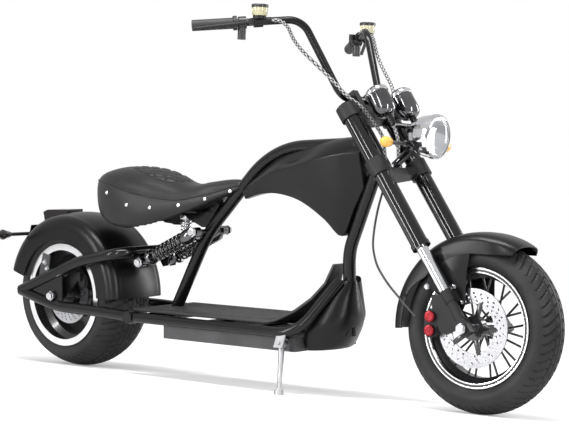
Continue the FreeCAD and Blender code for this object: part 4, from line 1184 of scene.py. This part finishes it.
front_disc, front_arms = drilled("drilled_front_disc", FRONT_AXLE, -63.0, 110.0, 26, 3.4)
rear_disc, rear_arms = drilled("drilled_rear_disc", REAR_AXLE, -72.0, 95.0, 24, 3.0)
park(front_disc, "front_wheel", steel, TURNED, angle=30)
park(rear_disc, "rear_wheel", steel, angle=30)
park(front_arms, "front_wheel", rim_black, TURNED, angle=30)
park(rear_arms, "rear_wheel", rim_black, angle=30)
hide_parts("front_disc")
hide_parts("rear_disc")

# %% [markdown]
# Small bright parts catch the eye: red adjusting caps on the caliper, hexagon bolts on the mudguards and
# the fork's top clamp, and nuts on the shocks and the axles. Each kind has one short profile.

# %% Caps and bolts
red_anodised = finish_of("red_anodised", (0.20, 0.004, 0.010), (0.32, 0.008, 0.020), (0.2, 0.32),
                         metal=0.6, depth=0.00005, bump=0.1)
CAP = [(0, 15.8), (2, 15.8), (2, 13.6), (3.5, 13.6), (3.5, 15.2), (5, 15.2), (5.6, 14.0), (5.0, 8.0),
       (5.6, 7.5), (5.6, 3.0)]
CALIPER = FRONT_AXLE + Vector((-122, 0, 6))
caps = [lathe("cap", CALIPER + Vector((0, -94.3, height)), -SIDE, CAP, 24) for height in (-19.5, 19.5)]
caps = park(join(caps, "caliper_caps"), "fork", red_anodised, TURNED, angle=40)

FENDER_SIDE = 77.8
STAY_SIDE = 122.2
HEX = [(0, 9.0), (1.6, 9.0), (1.6, 7.0), (6.0, 7.0), (7.0, 5.8), (7.0, 3.0)]
NUT = [(0, 16.0), (2.0, 16.0), (2.0, 13.0), (9.0, 13.0), (11.0, 11.0), (11.0, 5.0)]
FENDER_BOLTS = [(669, 347), (756, 350), (782, 309)]
fork_bolts = []
for side in (-1, 1):
    for x, z in FENDER_BOLTS:
        fork_bolts.append(lathe("bolt", Vector((x, side * FENDER_SIDE, z)), SIDE * side, HEX, 6))
    fork_bolts.append(lathe("bolt", on_fork(716, -14, side * 111) + LEG * 10, LEG, HEX, 6))
    nut_side = 127 if side < 0 else 124
    fork_bolts.append(lathe("bolt", FRONT_AXLE + SIDE * side * nut_side, SIDE * side, NUT, 6))
fork_bolts = park(join(fork_bolts, "fork_bolts"), "fork", chrome, TURNED, angle=20)

frame_bolts = []
for side in (-1, 1):
    for x, z in ((-874, 344), (-863, 323)):
        frame_bolts.append(lathe("bolt", Vector((x, side * STAY_SIDE, z)), SIDE * side, HEX, 6))
    for x, across, z in ((-241, 77.5, 466), (-480, 77.5, 360), (-815, 151, 238.8)):
        frame_bolts.append(lathe("bolt", Vector((x, side * across, z)), SIDE * side, NUT, 6))
frame_bolts = park(join(frame_bolts, "frame_bolts"), "frame", chrome, angle=20)

# %% [markdown]
# Each brake has a braided hose from its lever down the bar and into the fork. A hose is a smooth curve
# with a round section. The braid is a checker on the hose's own long axis and round it, so it follows
# every bend.

# %% Braided hoses
braid = finish_of("braid", (0.01, 0.01, 0.01), (0.02, 0.02, 0.02), (0.3, 0.45), grain=900.0,
                  depth=0.0001)
tree = braid.node_tree
weave = node_of(tree, "ShaderNodeTexChecker", Color1=(0.010, 0.010, 0.011, 1),
                Color2=(0.36, 0.36, 0.37, 1), Scale=1.0)
weave_place = node_of(tree, "ShaderNodeMapping", Scale=(84.0, 6.0, 1.0))
wire(tree, tree.nodes["Texture Coordinate"], "UV", weave_place, "Vector")
wire(tree, weave_place, "Vector", weave, "Vector")
wire(tree, weave, "Color", shader_of(braid), "Base Color")

BAR_END = Vector((45, -386, 1057))
BAR_BEND = Vector((262, -163, 1092))
bar_line = (BAR_END - BAR_BEND).normalized()
grip_start = BAR_END + bar_line * 4 - bar_line * 128
perch = grip_start - bar_line * 62
outward = bar_line.cross(UP).normalized()
if outward.x < 0:
    outward = -outward
MASTER = perch + outward * 24
ROUTE_RISE = 2.8          # the routes were measured from a point this far under the axle


def by_axle(x, y, z):
    return FRONT_AXLE + Vector((x, y, z + ROUTE_RISE))


def mirrored(point):
    return Vector((point.x, -point.y, point.z))


ALONG_FORK = [(662, 27, 46), (622, 26, 38), (588, 6, 35), (561, -9, 34), (545, -9, 34)]
bar_part = [MASTER - bar_line * 34.2, MASTER - bar_line * 60]
RIGHT_ROUTE = bar_part + [
    by_axle(-568, -206, 823), by_axle(-565, -193, 798), by_axle(-552, -180, 772), by_axle(-531, -166, 746),
    by_axle(-489, -143, 704), by_axle(-449, -127, 665), by_axle(-423, -110, 632), on_fork(727, 31, -78),
    on_fork(696, 29, -60),
] + [on_fork(along, ahead, -side) for along, ahead, side in ALONG_FORK]
LEFT_ROUTE = [mirrored(point) for point in bar_part] + [
    by_axle(-553, 203, 826), by_axle(-525, 173, 794), by_axle(-493, 147, 757), by_axle(-465, 132, 726),
    by_axle(-437, 118, 698), by_axle(-411, 105, 671), on_fork(756, 52, 90), on_fork(727, 40, 76),
    on_fork(696, 30, 60),
] + [on_fork(along, ahead, side) for along, ahead, side in ALONG_FORK]
HOSE_RADIUS = 5.2
for name, route in (("braided_hose_right", RIGHT_ROUTE), ("braided_hose_left", LEFT_ROUTE)):
    piece = thread(name, [point * MM for point in route], HOSE_RADIUS * MM, steps=8)
    park(piece, "fork", braid, TURNED, angle=60)
    print(name, "has a map for its braid:", bool(piece.data.uv_layers))
# %% [markdown]
# The hard parts that are still shown get smooth shading by angle.

# %% Finish
for node in nodes.values():
    if not node.hide_render:
        alone(node)
        bpy.ops.object.shade_smooth_by_angle(angle=math.radians(35))
